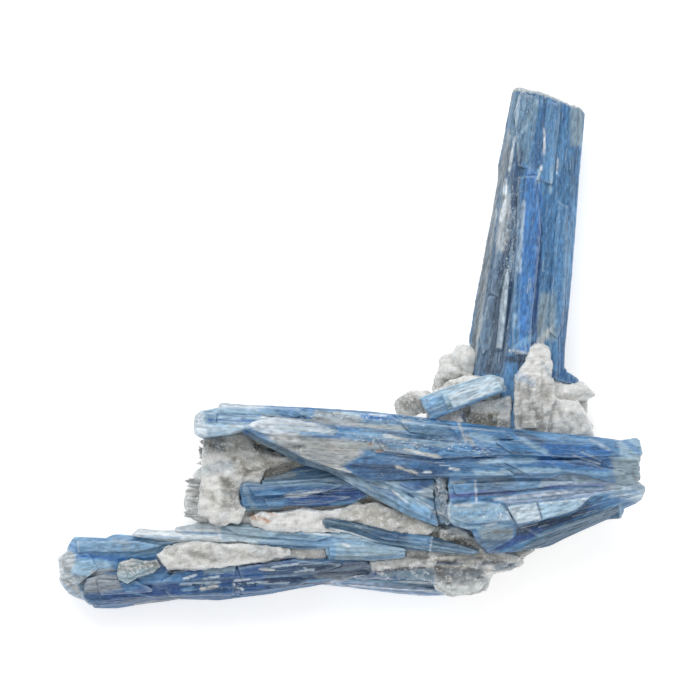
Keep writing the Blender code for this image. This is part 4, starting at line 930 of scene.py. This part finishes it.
leftLook = {
    "voxel": 0.24, "relief": 0.14, "grain": 1.0, "slivers": 20, "ragged": 0.8, "seed": 31, "ground": "sky",
    "left": ((-69.0, -43.6), (-38.0, -43.2)), "right": ((-69.0, -57.0), (-38.0, -48.6)),
    "patches": [
        ("sky", ((-65.6, -44.2), (-46.4, -44.6), (-44.4, -47.6), (-53.8, -48.2),
                 (-64.6, -48.2)), 0.6, 0.9, 0),
        ("pale", ((-64, -44.8), (-54, -45.2), (-46, -46.8), (-56, -47.2), (-63, -46.6)), 0.9, 0.45, 0),
        ("pale", ((-65.4, -49.6), (-57, -49.9), (-54.6, -51.8), (-61, -53.6),
                  (-65, -52.4)), 0.5, 0.8, 0.2),
        ("cloud", ((-70, -46.6), (-66, -47.2), (-64, -48.4), (-65, -52.4), (-63, -56.6), (-60, -61),
                   (-70, -57)), 0.5, 1, 0),
        ("stone", ((-60.6, -52.2), (-56, -51.4), (-53.6, -52.6), (-55.2, -53.4),
                   (-60, -54)), 0.3, 0.8, 0),
        ("dusk", ((-47, -45), (-38, -44.6), (-38, -46.4), (-44, -47.2)), 0.5, 0.6, 0),
    ],
    "strokes": [
        ("azure", (-62.6, -48.4, 0.5), (-53.8, -49.2, 0.6), 0.8),
        ("azure", (-52.6, -49, 0.4), (-46, -49.4, 0.5), 0.75),
        ("white", (-63.6, -45.4, 0.25), (-63.4, -47.4, 0.25), 0.5),
        ("bright", (-65.6, -46, 0.6), (-64.2, -46.8, 0.5), 0.6),
        ("haze", (-54.6, -45, 0.5), (-52.6, -45.4, 0.5), 0.5),
        ("pale", (-50, -47.4, 0.3), (-46, -47.2, 0.3), 0.6),
        ("mid", (-62, -44.4, 0.35), (-56.8, -44.8, 0.35), 0.5),
        ("haze", (-66.4, -50.4, 0.6), (-65, -55, 0.8), 0.5),
        ("sage", (-65.4, -52.6, 0.8), (-62, -55.2, 1.2), 0.6),
        ("sand", (-62.6, -54.2, 1), (-60.4, -54.6, 0.8), 0.6),
        ("mist", (-67.4, -55.4, 0.8), (-62.4, -59, 0.7), 0.7),
        ("white", (-67.9, -49, 0.5), (-67.6, -54, 0.5), 0.6),
        ("frost", (-66, -50, 2.4), (-64, -56, 2.6), 0.5),
    ],
}
crystal("left_blade", leftLook)

longLook = {
    "voxel": 0.26, "relief": 0.17, "grain": 1.0, "slivers": 50, "ragged": 0.9, "seed": 37,
    "ground": "deep", "lively": 0.75,
    "left": ((-64.0, -52.0), (6.0, -48.2)), "right": ((-64.0, -61.4), (6.0, -54.4)),
    "patches": [
        ("haze", ((-61, -52.4), (-54.2, -53), (-53.2, -56.4), (-58, -57), (-62.6, -57.4)), 0.5, 0.7, 0),
        ("mid", ((-53.8, -54.6), (-49, -53), (-42, -52), (-38, -51.6), (-38, -54.6), (-48, -55.2),
                 (-52, -56.8)), 0.5, 0.75, 0),
        ("royal", ((-50.4, -55.6), (-39.6, -54.9), (-38, -57.4), (-44, -58.2),
                   (-51, -57.4)), 0.5, 0.8, 0),
        ("royal", ((-58, -57.6), (-53, -56.8), (-47, -59.2), (-56, -60.4)), 0.5, 0.6, 0),
        ("sage", ((-35, -50.4), (-27, -49.8), (-26.4, -52.6), (-34, -52.8)), 0.4, 0.6, 0),
        ("royal", ((-30, -52.6), (-14, -49.6), (-6, -51), (-6, -54.8), (-20, -56.4),
                   (-30, -57)), 0.7, 0.6, 0),
        ("navy", ((-20, -50.4), (7, -49.6), (7, -55), (-20, -56)), 0.6, 0.9, 0),
        ("ink", ((-13, -50.6), (7, -50), (7, -52.8), (-6, -53.2)), 0.5, 0.75, 0),
        ("grey", ((-9, -52.9), (7, -52.6), (7, -55), (-5, -55.2)), 0.5, 0.6, 0),
    ],
    "strokes": [
        ("violet", (-45.2, -49, 0.5), (-42.4, -51.6, 0.3), 0.8),
        ("sky", (-52, -56.9, 0.25), (-46, -58.3, 0.22), 0.7),
        ("sand", (-50, -59.8, 0.3), (-40, -58.7, 0.25), 0.7),
        ("mid", (-58, -60.2, 0.5), (-52, -60.4, 0.5), 0.6),
        ("navy", (-52, -58.8, 0.4), (-40, -58, 0.4), 0.5),
        ("dark", (-57, -53.8, 0.3), (-54, -54.2, 0.3), 0.5),
        ("white", (-38.4, -53.7, 0.25), (-36.4, -53.1, 0.25), 0.85),
        ("ice", (-33.6, -53.9, 0.25), (-31, -53.4, 0.25), 0.85),
        ("ice", (-39, -55.2, 0.3), (-31, -54.6, 0.3), 0.7),
        ("cream", (-34, -56.2, 0.4), (-31.8, -55.8, 0.4), 0.95),
        ("sky", (-39, -56.4, 0.25), (-37, -56, 0.25), 0.7),
        ("navy", (-38, -54.4, 0.3), (-28, -53.9, 0.3), 0.7),
        ("navy", (-36, -57.4, 0.4), (-27, -56.4, 0.4), 0.5),
        ("cream", (-20.6, -51.6, 0.35), (-18, -51.8, 0.3), 0.9),
        ("ice", (-17.8, -51.1, 0.22), (-12.5, -50.4, 0.22), 0.8),
        ("white", (-26.4, -54.2, 0.3), (-23.8, -54, 0.3), 0.8),
        ("ice", (-25, -54.9, 0.25), (-19.4, -54.6, 0.25), 0.85),
        ("white", (-26.3, -55.6, 0.4), (-25.4, -56.2, 0.35), 0.85),
        ("ice", (-24, -55.2, 0.22), (-14.6, -54.8, 0.22), 0.7),
        ("ice", (-12.4, -52.2, 0.22), (-9, -51.8, 0.22), 0.6),
        ("sky", (-20, -53.4, 0.22), (-10, -53.2, 0.22), 0.5),
        ("ice", (-10.6, -51.4, 0.2), (-8.8, -51.9, 0.2), 0.6),
        ("mid", (-26, -57.9, 0.5), (-9, -55.6, 0.4), 0.6),
        ("dusk", (-11, -49.6, 0.6), (-6, -50, 0.5), 0.6),
        ("mist", (-4, -54.6, 0.35), (4, -54.8, 0.35), 0.8),
        ("sky", (-9.4, -54.6, 0.3), (-5, -54, 0.3), 0.6),
    ],
}
crystal("long_lower_blade", longLook)

bottomLook = {
    "voxel": 0.2, "relief": 0.1, "grain": 0.9, "slivers": 14, "ragged": 0.6, "seed": 41, "ground": "dusk",
    "left": ((-8.0, -49.6), (24.0, -49.6)), "right": ((-8.0, -56.6), (24.0, -58.0)),
    "patches": [
        ("cloud", ((4.2, -50), (10, -49.4), (17.2, -49.6), (17, -51), (12, -51.4),
                   (5.4, -51.7)), 0.2, 0.95, 0.3),
        # painted sheen: a violet-white band of reflected light along the blade
        ("mist", ((-8, -54.6), (4, -54.7), (16, -55.6), (21, -56.2), (24, -57.4), (22, -58.4),
                  (-8, -56.6)), 0.3, 0.9, 0.15),
        ("sage", ((19, -51.6), (25, -51.6), (25, -58.4), (22.6, -57)), 0.5, 0.7, 0),
    ],
    "strokes": [
        ("ink", (3.6, -52.4, 0.35), (16.6, -51.4, 0.3), 0.85),
        ("ink", (-6, -50.8, 0.9), (4, -51, 0.8), 0.8),
        ("azure", (-2, -55.1, 0.18), (20, -56.9, 0.2), 0.7),
        ("azure", (0, -56, 0.16), (20, -57.6, 0.16), 0.6),
        # painted sheen: the brightest line of the violet-white band
        ("white", (0, -55.5, 0.2), (19, -56.9, 0.2), 0.7),
        ("mid", (1, -53.6, 0.5), (18, -53.6, 0.6), 0.6), ("royal", (7, -53.6, 0.3), (12, -54, 0.3), 0.7),
        ("cream", (12, -52.5, 0.25), (16, -52.3, 0.25), 0.7),
        ("cream", (12, -54.6, 0.25), (19, -55.1, 0.25), 0.6),
        ("white", (4, -53, 0.2), (10, -52.9, 0.2), 0.5),
    ],
}
crystal("bottom_blade", bottomLook)


# Quartz

def facets(points, size, seed):
    # broken faces: flats that lean at random, each running on to where it meets the next
    cell = np.floor(points / size).astype(np.int64)
    height = np.full(len(points), np.inf)
    for offset in itertools.product((-1, 0, 1), repeat=3):
        at = cell + np.array(offset)
        chance = chances(at, seed, 6)
        away = points / size - at - np.column_stack(chance[:3])
        lean = np.column_stack(chance[3:]) * 2 - 1
        beyond = np.maximum((away * away).sum(axis=1) - 0.35, 0)
        height = np.minimum(height, (away * lean).sum(axis=1) * 0.9 + chance[4] * 0.6 + beyond * 1.6)
    return np.clip(height * 0.8 + 0.6, 0, 1)


def sharded(mesh, look):
    # thin broken flakes that stand out of the quartz where its edge is ragged
    rng = random.Random(look["seed"])
    bm = opened(mesh)
    for start, end, count, size, bearing in look["shards"]:
        for _ in range(count):
            share = rng.random()
            middle = [start[axis] + (end[axis] - start[axis]) * share for axis in range(3)]
            middle = Vector((*((Vector(middle[:2]) + planShift)), middle[2])) * mm
            turn = math.radians(bearing + rng.uniform(-14, 14))
            along = Vector((math.cos(turn), math.sin(turn), rng.uniform(-0.15, 0.2))).normalized()
            up = Vector((rng.uniform(-0.4, 0.4), rng.uniform(-0.4, 0.4), 1))
            up = (up - along * up.dot(along)).normalized()
            sliver(bm, rng, middle, along, up, [side * rng.uniform(0.5, 1.0) * mm for side in size])
    closed(bm, mesh)


def quartz(nodeName, look):
    mesh = fineSkin(nodeCopy(nodeName), nodeName, look["voxel"])
    points = coordinates(mesh)
    normals = normalsOf(mesh)
    coarse = facets(points / mm, look["grain"], look["seed"])
    small = facets(points / mm, look["grain"] * 0.36, look["seed"] + 4)
    broken = coarse * 0.65 + small * 0.35
    standing = smooth(points[:, 2] / mm, 0.0, 0.6)
    raised(points, planOf(points), normals, look["patches"], edge=0.4)
    points += normals * ((look["grown"] - look["relief"] * (1 - broken)) * mm * standing)[:, None]
    mesh.vertices.foreach_set("co", inBox(points).ravel())
    mesh.update()
    sharded(mesh, look)
    painted(mesh, coordinates(mesh) / mm * 0.6, look)
    mesh.shade_smooth()
    mesh.set_sharp_from_angle(angle=math.radians(26))
    dressed(mesh, nodeName + "_mass", nodeName, quartzFinish(nodeName + "_finish", look["clear"]))


quartzLook = {
    "quartz_matrix": {
        "voxel": 0.46, "relief": 0.9, "grain": 2.8, "clear": 0.18, "seed": 43, "ground": "bone",
        # shade is the most painted shade in hollows; edges is how far ridges go toward ice, partly frost and
        # partly painted highlight
        "shade": 0.3, "edges": 0.5, "lively": 0.5, "grown": 0.45, "paintFrom": 8.5,
        # a row of flakes: start and end (x, y, height), how many, length by width by thickness, bearing
        "shards": [
            ((-36.2, -30.6, 18.6), (-36.4, -40.0, 17.0), 26, (4.6, 1.3, 0.8), 176),
            ((20.6, -29.8, 26.0), (21.8, -33.6, 25.6), 16, (3.0, 1.5, 1.4), -62),
            ((20.2, -32.2, 25.2), (22.4, -40.0, 24.4), 22, (3.2, 1.3, 1.2), -52),
            ((21.0, -30.6, 25.8), (22.4, -38.6, 24.9), 14, (2.2, 1.5, 1.2), 40),
            ((-33.8, -22.0, 17.0), (-34.6, -28.6, 16.0), 10, (2.6, 1.4, 0.8), 160),
            ((36.0, -50.8, 7), (42.6, -47.4, 7), 9, (2.6, 1.6, 0.8), 20),
        ],
        "patches": [
            # grey quartz, partly its own grey and partly painted shade just below the upper blade
            ("haze", ((-35, -19.6), (-22, -19), (-16, -23), (-14, -25.4), (-24, -25),
                      (-34, -24.6)), 0.9, 0.8, 0),
            ("sand", ((-29, -24.8), (-13, -25.6), (-6, -28), (-8, -30.4), (-26, -30.4)), 0.9, 0.85, 0),
            ("haze", ((-30, -30.2), (-26, -30.8), (-25.4, -38), (-30, -37.4)), 0.8, 0.75, 0),
            ("sand", ((-2, -35.8), (10, -35.4), (19, -40.2), (17, -43), (2, -41.4),
                      (-2, -38)), 0.9, 0.75, 0),
            ("olive", ((17.6, -41), (22, -41.6), (30.4, -45.6), (30, -47.8),
                       (18.6, -44.4)), 0.5, 0.85, 0),
            ("haze", ((12, -47.4), (31, -47.4), (40, -48.4), (38, -50.8), (19, -50.4),
                      (10, -49.6)), 0.5, 0.75, 0),
            ("grey", ((19.4, -50.4), (31, -50.6), (32, -54.6), (20, -55)), 0.9, 0.9, 0),
            ("sage", ((20, -54.8), (33, -53.4), (32, -58.4), (20, -58.4)), 0.9, 0.5, 0),
            ("haze", ((38.6, -8), (47.4, -8), (47.4, -19.8), (39, -19.8)), 0.9, 0.5, 0),
            ("deep", ((-46, -52), (-20, -51.4), (-10, -49.8), (-10, -56), (-24, -57.6),
                      (-46, -58)), 0.6, 1, -2.2),
            ("navy", ((-11, -49.4), (4.4, -49.6), (4.4, -52.6), (-9, -53.4)), 0.5, 1, -1),
            ("sage", ((26, -10), (38, -9.4), (38, -14.6), (27, -14.6)), 0.6, 0.7, 0),
            ("olive", ((27.4, -14.8), (34.6, -14.8), (34.6, -18.8), (27.6, -18.8)), 0.5, 0.8, 0),
            ("dusk", ((27, -19), (38, -19), (38, -23), (26, -23)), 0.6, 0.75, 0),
            ("sand", ((22.6, -17.6), (26.2, -17.6), (26.2, -22.4), (23.4, -22.4)), 0.4, 0.8, 0),
            ("dusk", ((-10, -52.6), (4, -52.4), (19, -51.4), (20.4, -55.4), (0, -55.4)), 0.5, 0.9, 0),
            ("sky", ((17.6, -28), (24, -28), (24.4, -39), (24.6, -42), (19.4, -41),
                     (18, -37)), 0.5, 0.95, 0),
            ("royal", ((-10, -51.4), (6, -51.4), (7, -54.2), (-6, -54.8)), 0.5, 0.85, 0),
        ],
        "strokes": [
            # painted shade: darker strips of quartz just below the upper blade
            ("smoke", (-33.4, -22.6, 0.9), (-30.4, -23.4, 0.8), 0.6),
            ("smoke", (-21.2, -23.4, 0.8), (-14.6, -25.6, 0.7), 0.8),
            ("ice", (-33, -28.4, 1.2), (-29.6, -27.6, 1.2), 0.7),
            ("smoke", (-28.4, -31.6, 1), (-26.6, -33, 0.9), 0.5),
            ("sand", (-34, -33.2, 0.8), (-32.6, -34.4, 0.8), 0.6),
            ("smoke", (-24.6, -28.2, 0.4), (-21, -28, 0.4), 0.5),
            ("orange", (-22.4, -39.4, 0.6), (-19.6, -40.1, 0.55), 0.75),
            ("orange", (-19, -38.4, 0.4), (-17.4, -38.8, 0.35), 0.6),
            ("rust", (-25.6, -39, 0.5), (-22.6, -38.6, 0.4), 0.35),
            ("white", (-20, -42, 0.6), (-13, -42.4, 0.6), 0.8),
            ("smoke", (-17, -39.3, 0.3), (-13.6, -39, 0.3), 0.5),
            ("olive", (3.6, -35.2, 1), (8, -36.4, 0.8), 0.7),
            ("haze", (10.6, -37.6, 1.4), (14, -39.6, 1.2), 0.6),
            ("white", (6, -36.6, 0.4), (8.8, -38.2, 0.4), 0.6),
            ("cream", (12, -43, 0.4), (17.6, -43, 0.4), 0.6),
            ("white", (20.2, -42.5, 0.4), (24.6, -43, 0.35), 0.8),
            ("smoke", (22, -43.8, 0.8), (29, -46, 0.7), 0.6),
            ("stone", (-42, -47.4, 1), (-18, -48.4, 1), 0.4),
            ("haze", (-36.4, -48, 0.9), (-31.4, -49, 0.8), 0.6),
            ("smoke", (-15, -46.9, 0.5), (-10.6, -47.4, 0.5), 0.7),
            ("sand", (-12, -48.4, 0.9), (-6, -48.6, 0.9), 0.6),
            ("steel", (21.4, -52.2, 0.9), (29, -52.6, 0.9), 0.5),
            ("smoke", (20.6, -51.4, 0.7), (23, -54.6, 0.9), 0.8),
            ("white", (23.4, -55.7, 0.45), (26.4, -55.8, 0.45), 0.85),
            ("cream", (22, -50.8, 0.4), (26.6, -51.2, 0.4), 0.8),
            ("navy", (20, -50.3, 0.3), (25.6, -50.6, 0.3), 0.7),
            ("grey", (35, -51.4, 0.8), (38, -51.2, 0.8), 0.6),
            ("sand", (40.6, -47.8, 0.9), (43.4, -47.4, 0.8), 0.5),
            ("haze", (11, -12, 2.4), (18, -13, 2), 0.75), ("haze", (20, -8, 1.2), (24, -8.6, 1), 0.6),
            ("smoke", (28, -16, 1.2), (33.6, -17.4, 1.4), 0.75),
            ("olive", (28.4, -17.6, 0.8), (33, -18.4, 0.8), 0.6),
            ("cream", (29, -12.8, 0.7), (37, -12.2, 0.7), 0.5),
            ("deep", (26, -15.2, 0.5), (27, -17.8, 0.5), 0.7),
            ("steel", (26.4, -10.8, 0.4), (36, -13.4, 0.4), 0.5),
            ("sky", (24.6, -18, 0.3), (25.2, -22, 0.3), 0.5),
            ("dusk", (29, -20.4, 1), (36.6, -21, 1), 0.5),
            ("sky", (39.4, -6.6, 0.9), (41.6, -7.8, 0.8), 0.5),
            ("smoke", (43.6, -15.4, 0.9), (45.6, -19, 0.9), 0.65),
            ("haze", (40.2, -17, 1), (42.6, -18.8, 1), 0.6),
            ("grey", (41.6, -7, 0.35), (41.8, -18, 0.35), 0.4),
            ("azure", (20.4, -33.4, 0.6), (21.6, -36, 0.5), 0.8),
            ("pale", (21.6, -30.4, 0.7), (22.4, -33, 0.5), 0.8),
            # painted highlights: white glints in the crystal pocket
            ("white", (20, -38.3, 0.5), (22.4, -38.4, 0.45), 0.95),
            ("white", (22.3, -34.8, 0.4), (22.8, -35.2, 0.3), 0.95),
            ("ice", (21.6, -35.8, 0.3), (21.9, -37.8, 0.3), 0.8),
            ("ice", (18, -33.4, 0.5), (20.4, -32, 0.5), 0.8),
            ("cloud", (4.6, -50.6, 0.9), (16.6, -50.2, 0.7), 0.95),
            ("ink", (3.6, -52.2, 0.4), (17, -51.3, 0.3), 0.9),
            ("royal", (7, -53.6, 0.4), (12, -54, 0.4), 0.7),
            ("smoke", (12, -48.2, 0.5), (16.4, -48.8, 0.5), 0.8),
            ("dark", (17, -49, 0.25), (25, -48, 0.25), 0.7),
            ("cream", (18, -49.3, 0.25), (28, -48.4, 0.25), 0.7),
            ("ink", (20.6, -49.9, 0.35), (25.4, -50.3, 0.3), 0.85),
            ("dark", (25, -49.4, 0.3), (31, -48.8, 0.3), 0.7),
            ("cream", (26, -48.9, 0.2), (33, -48.3, 0.2), 0.6),
            ("navy", (30, -50.2, 0.3), (36, -50, 0.3), 0.6),
            ("dusk", (35, -51.2, 0.6), (38.4, -50.6, 0.6), 0.7),
            ("grey", (44.6, -5, 0.3), (44.8, -15, 0.3), 0.4),
            ("haze", (47.4, -19.2, 0.8), (51, -20.2, 0.8), 0.5),
            ("sky", (45, -3.4, 0.3), (46.6, -6, 0.3), 0.5),
        ],
    },
    "quartz_flake": {
        "voxel": 0.18, "relief": 0.5, "grain": 2.2, "clear": 0.2, "seed": 47, "ground": "sage",
        "shade": 0.25, "edges": 0.5, "lively": 0.6, "grown": 0.3, "shards": [],
        "patches": [
            ("pale", ((-54.6, -52.4), (-48, -51.4), (-46, -53), (-52, -55.4),
                      (-54.4, -54.6)), 0.5, 0.7, 0),
            ("cloud", ((-54.2, -49.8), (-51.6, -49), (-49.6, -50.2), (-52.6, -51.4)), 0.3, 0.85, 0),
        ],
        "strokes": [
            ("haze", (-49, -50.8, 0.6), (-45, -50.4, 0.6), 0.6),
            ("white", (-53.6, -52.4, 0.4), (-50, -51.2, 0.35), 0.5),
        ],
    },
}
for nodeName, look in quartzLook.items():
    quartz(nodeName, look)


# Floor, light and camera

stage = {
    "floorSize": 3.0, "floorWhite": 0.93, "floorGlow": 0.4, "world": 0.59,
    "keyPower": 7.5, "keySize": 0.9, "keyPlace": (-0.15, 0.75, 0.95),
    "fillPower": 2.2, "fillSize": 1.0, "fillPlace": (0.3, -0.8, 0.9),
    "lampAim": (0, -0.02, 0),
    # the picture's width in mm at the height that is shown true, and its middle in plan
    "pictureMm": 163.29, "pictureMiddle": (0.0, -0.47), "trueHeight": 0.018, "cameraHeight": 4.0,
}


def lamp(name, place, size, power):
    light = bpy.data.lights.new(name, "AREA")
    light.shape = "DISK"
    light.size = size
    light.energy = power
    lampObject = bpy.data.objects.new(name, light)
    lampObject.location = place
    aim = Vector(stage["lampAim"]) - Vector(place)
    lampObject.rotation_euler = aim.to_track_quat("-Z", "Y").to_euler()
    bpy.context.scene.collection.objects.link(lampObject)


def setStage():
    bm = bmesh.new()
    bmesh.ops.create_grid(bm, x_segments=1, y_segments=1, size=stage["floorSize"])
    floor = pieceFrom(meshFrom(bm, "floor"), "floor")
    paint = Finish("floor_finish")
    white = stage["floorWhite"]
    paint.set(Base_Color=(white, white, white, 1), Roughness=0.9, Specular_IOR_Level=0.0)
    paint.set(Emission_Color=(1, 1, 1, 1), Emission_Strength=stage["floorGlow"])
    floor.data.materials.append(paint.material)
    world = bpy.data.worlds.new("studio")
    world.use_nodes = True
    background = world.node_tree.nodes["Background"]
    background.inputs["Color"].default_value = (1, 1, 1, 1)
    background.inputs["Strength"].default_value = stage["world"]
    bpy.context.scene.world = world
    lamp("key", stage["keyPlace"], stage["keySize"], stage["keyPower"])
    lamp("fill", stage["fillPlace"], stage["fillSize"], stage["fillPower"])
    camera = bpy.data.cameras.new("camera")
    reach = stage["cameraHeight"] - stage["trueHeight"]
    camera.sensor_width = 36.0
    camera.lens = camera.sensor_width * reach / (stage["pictureMm"] * mm)
    camera.clip_end = 10.0
    cameraObject = bpy.data.objects.new("camera", camera)
    middle = (Vector(stage["pictureMiddle"]) + planShift) * mm
    cameraObject.location = (middle.x, middle.y, stage["cameraHeight"])
    bpy.context.scene.collection.objects.link(cameraObject)
    bpy.context.scene.camera = cameraObject
    bpy.context.scene.view_settings.view_transform = "Standard"


setStage()
print("floor, light and camera are set")
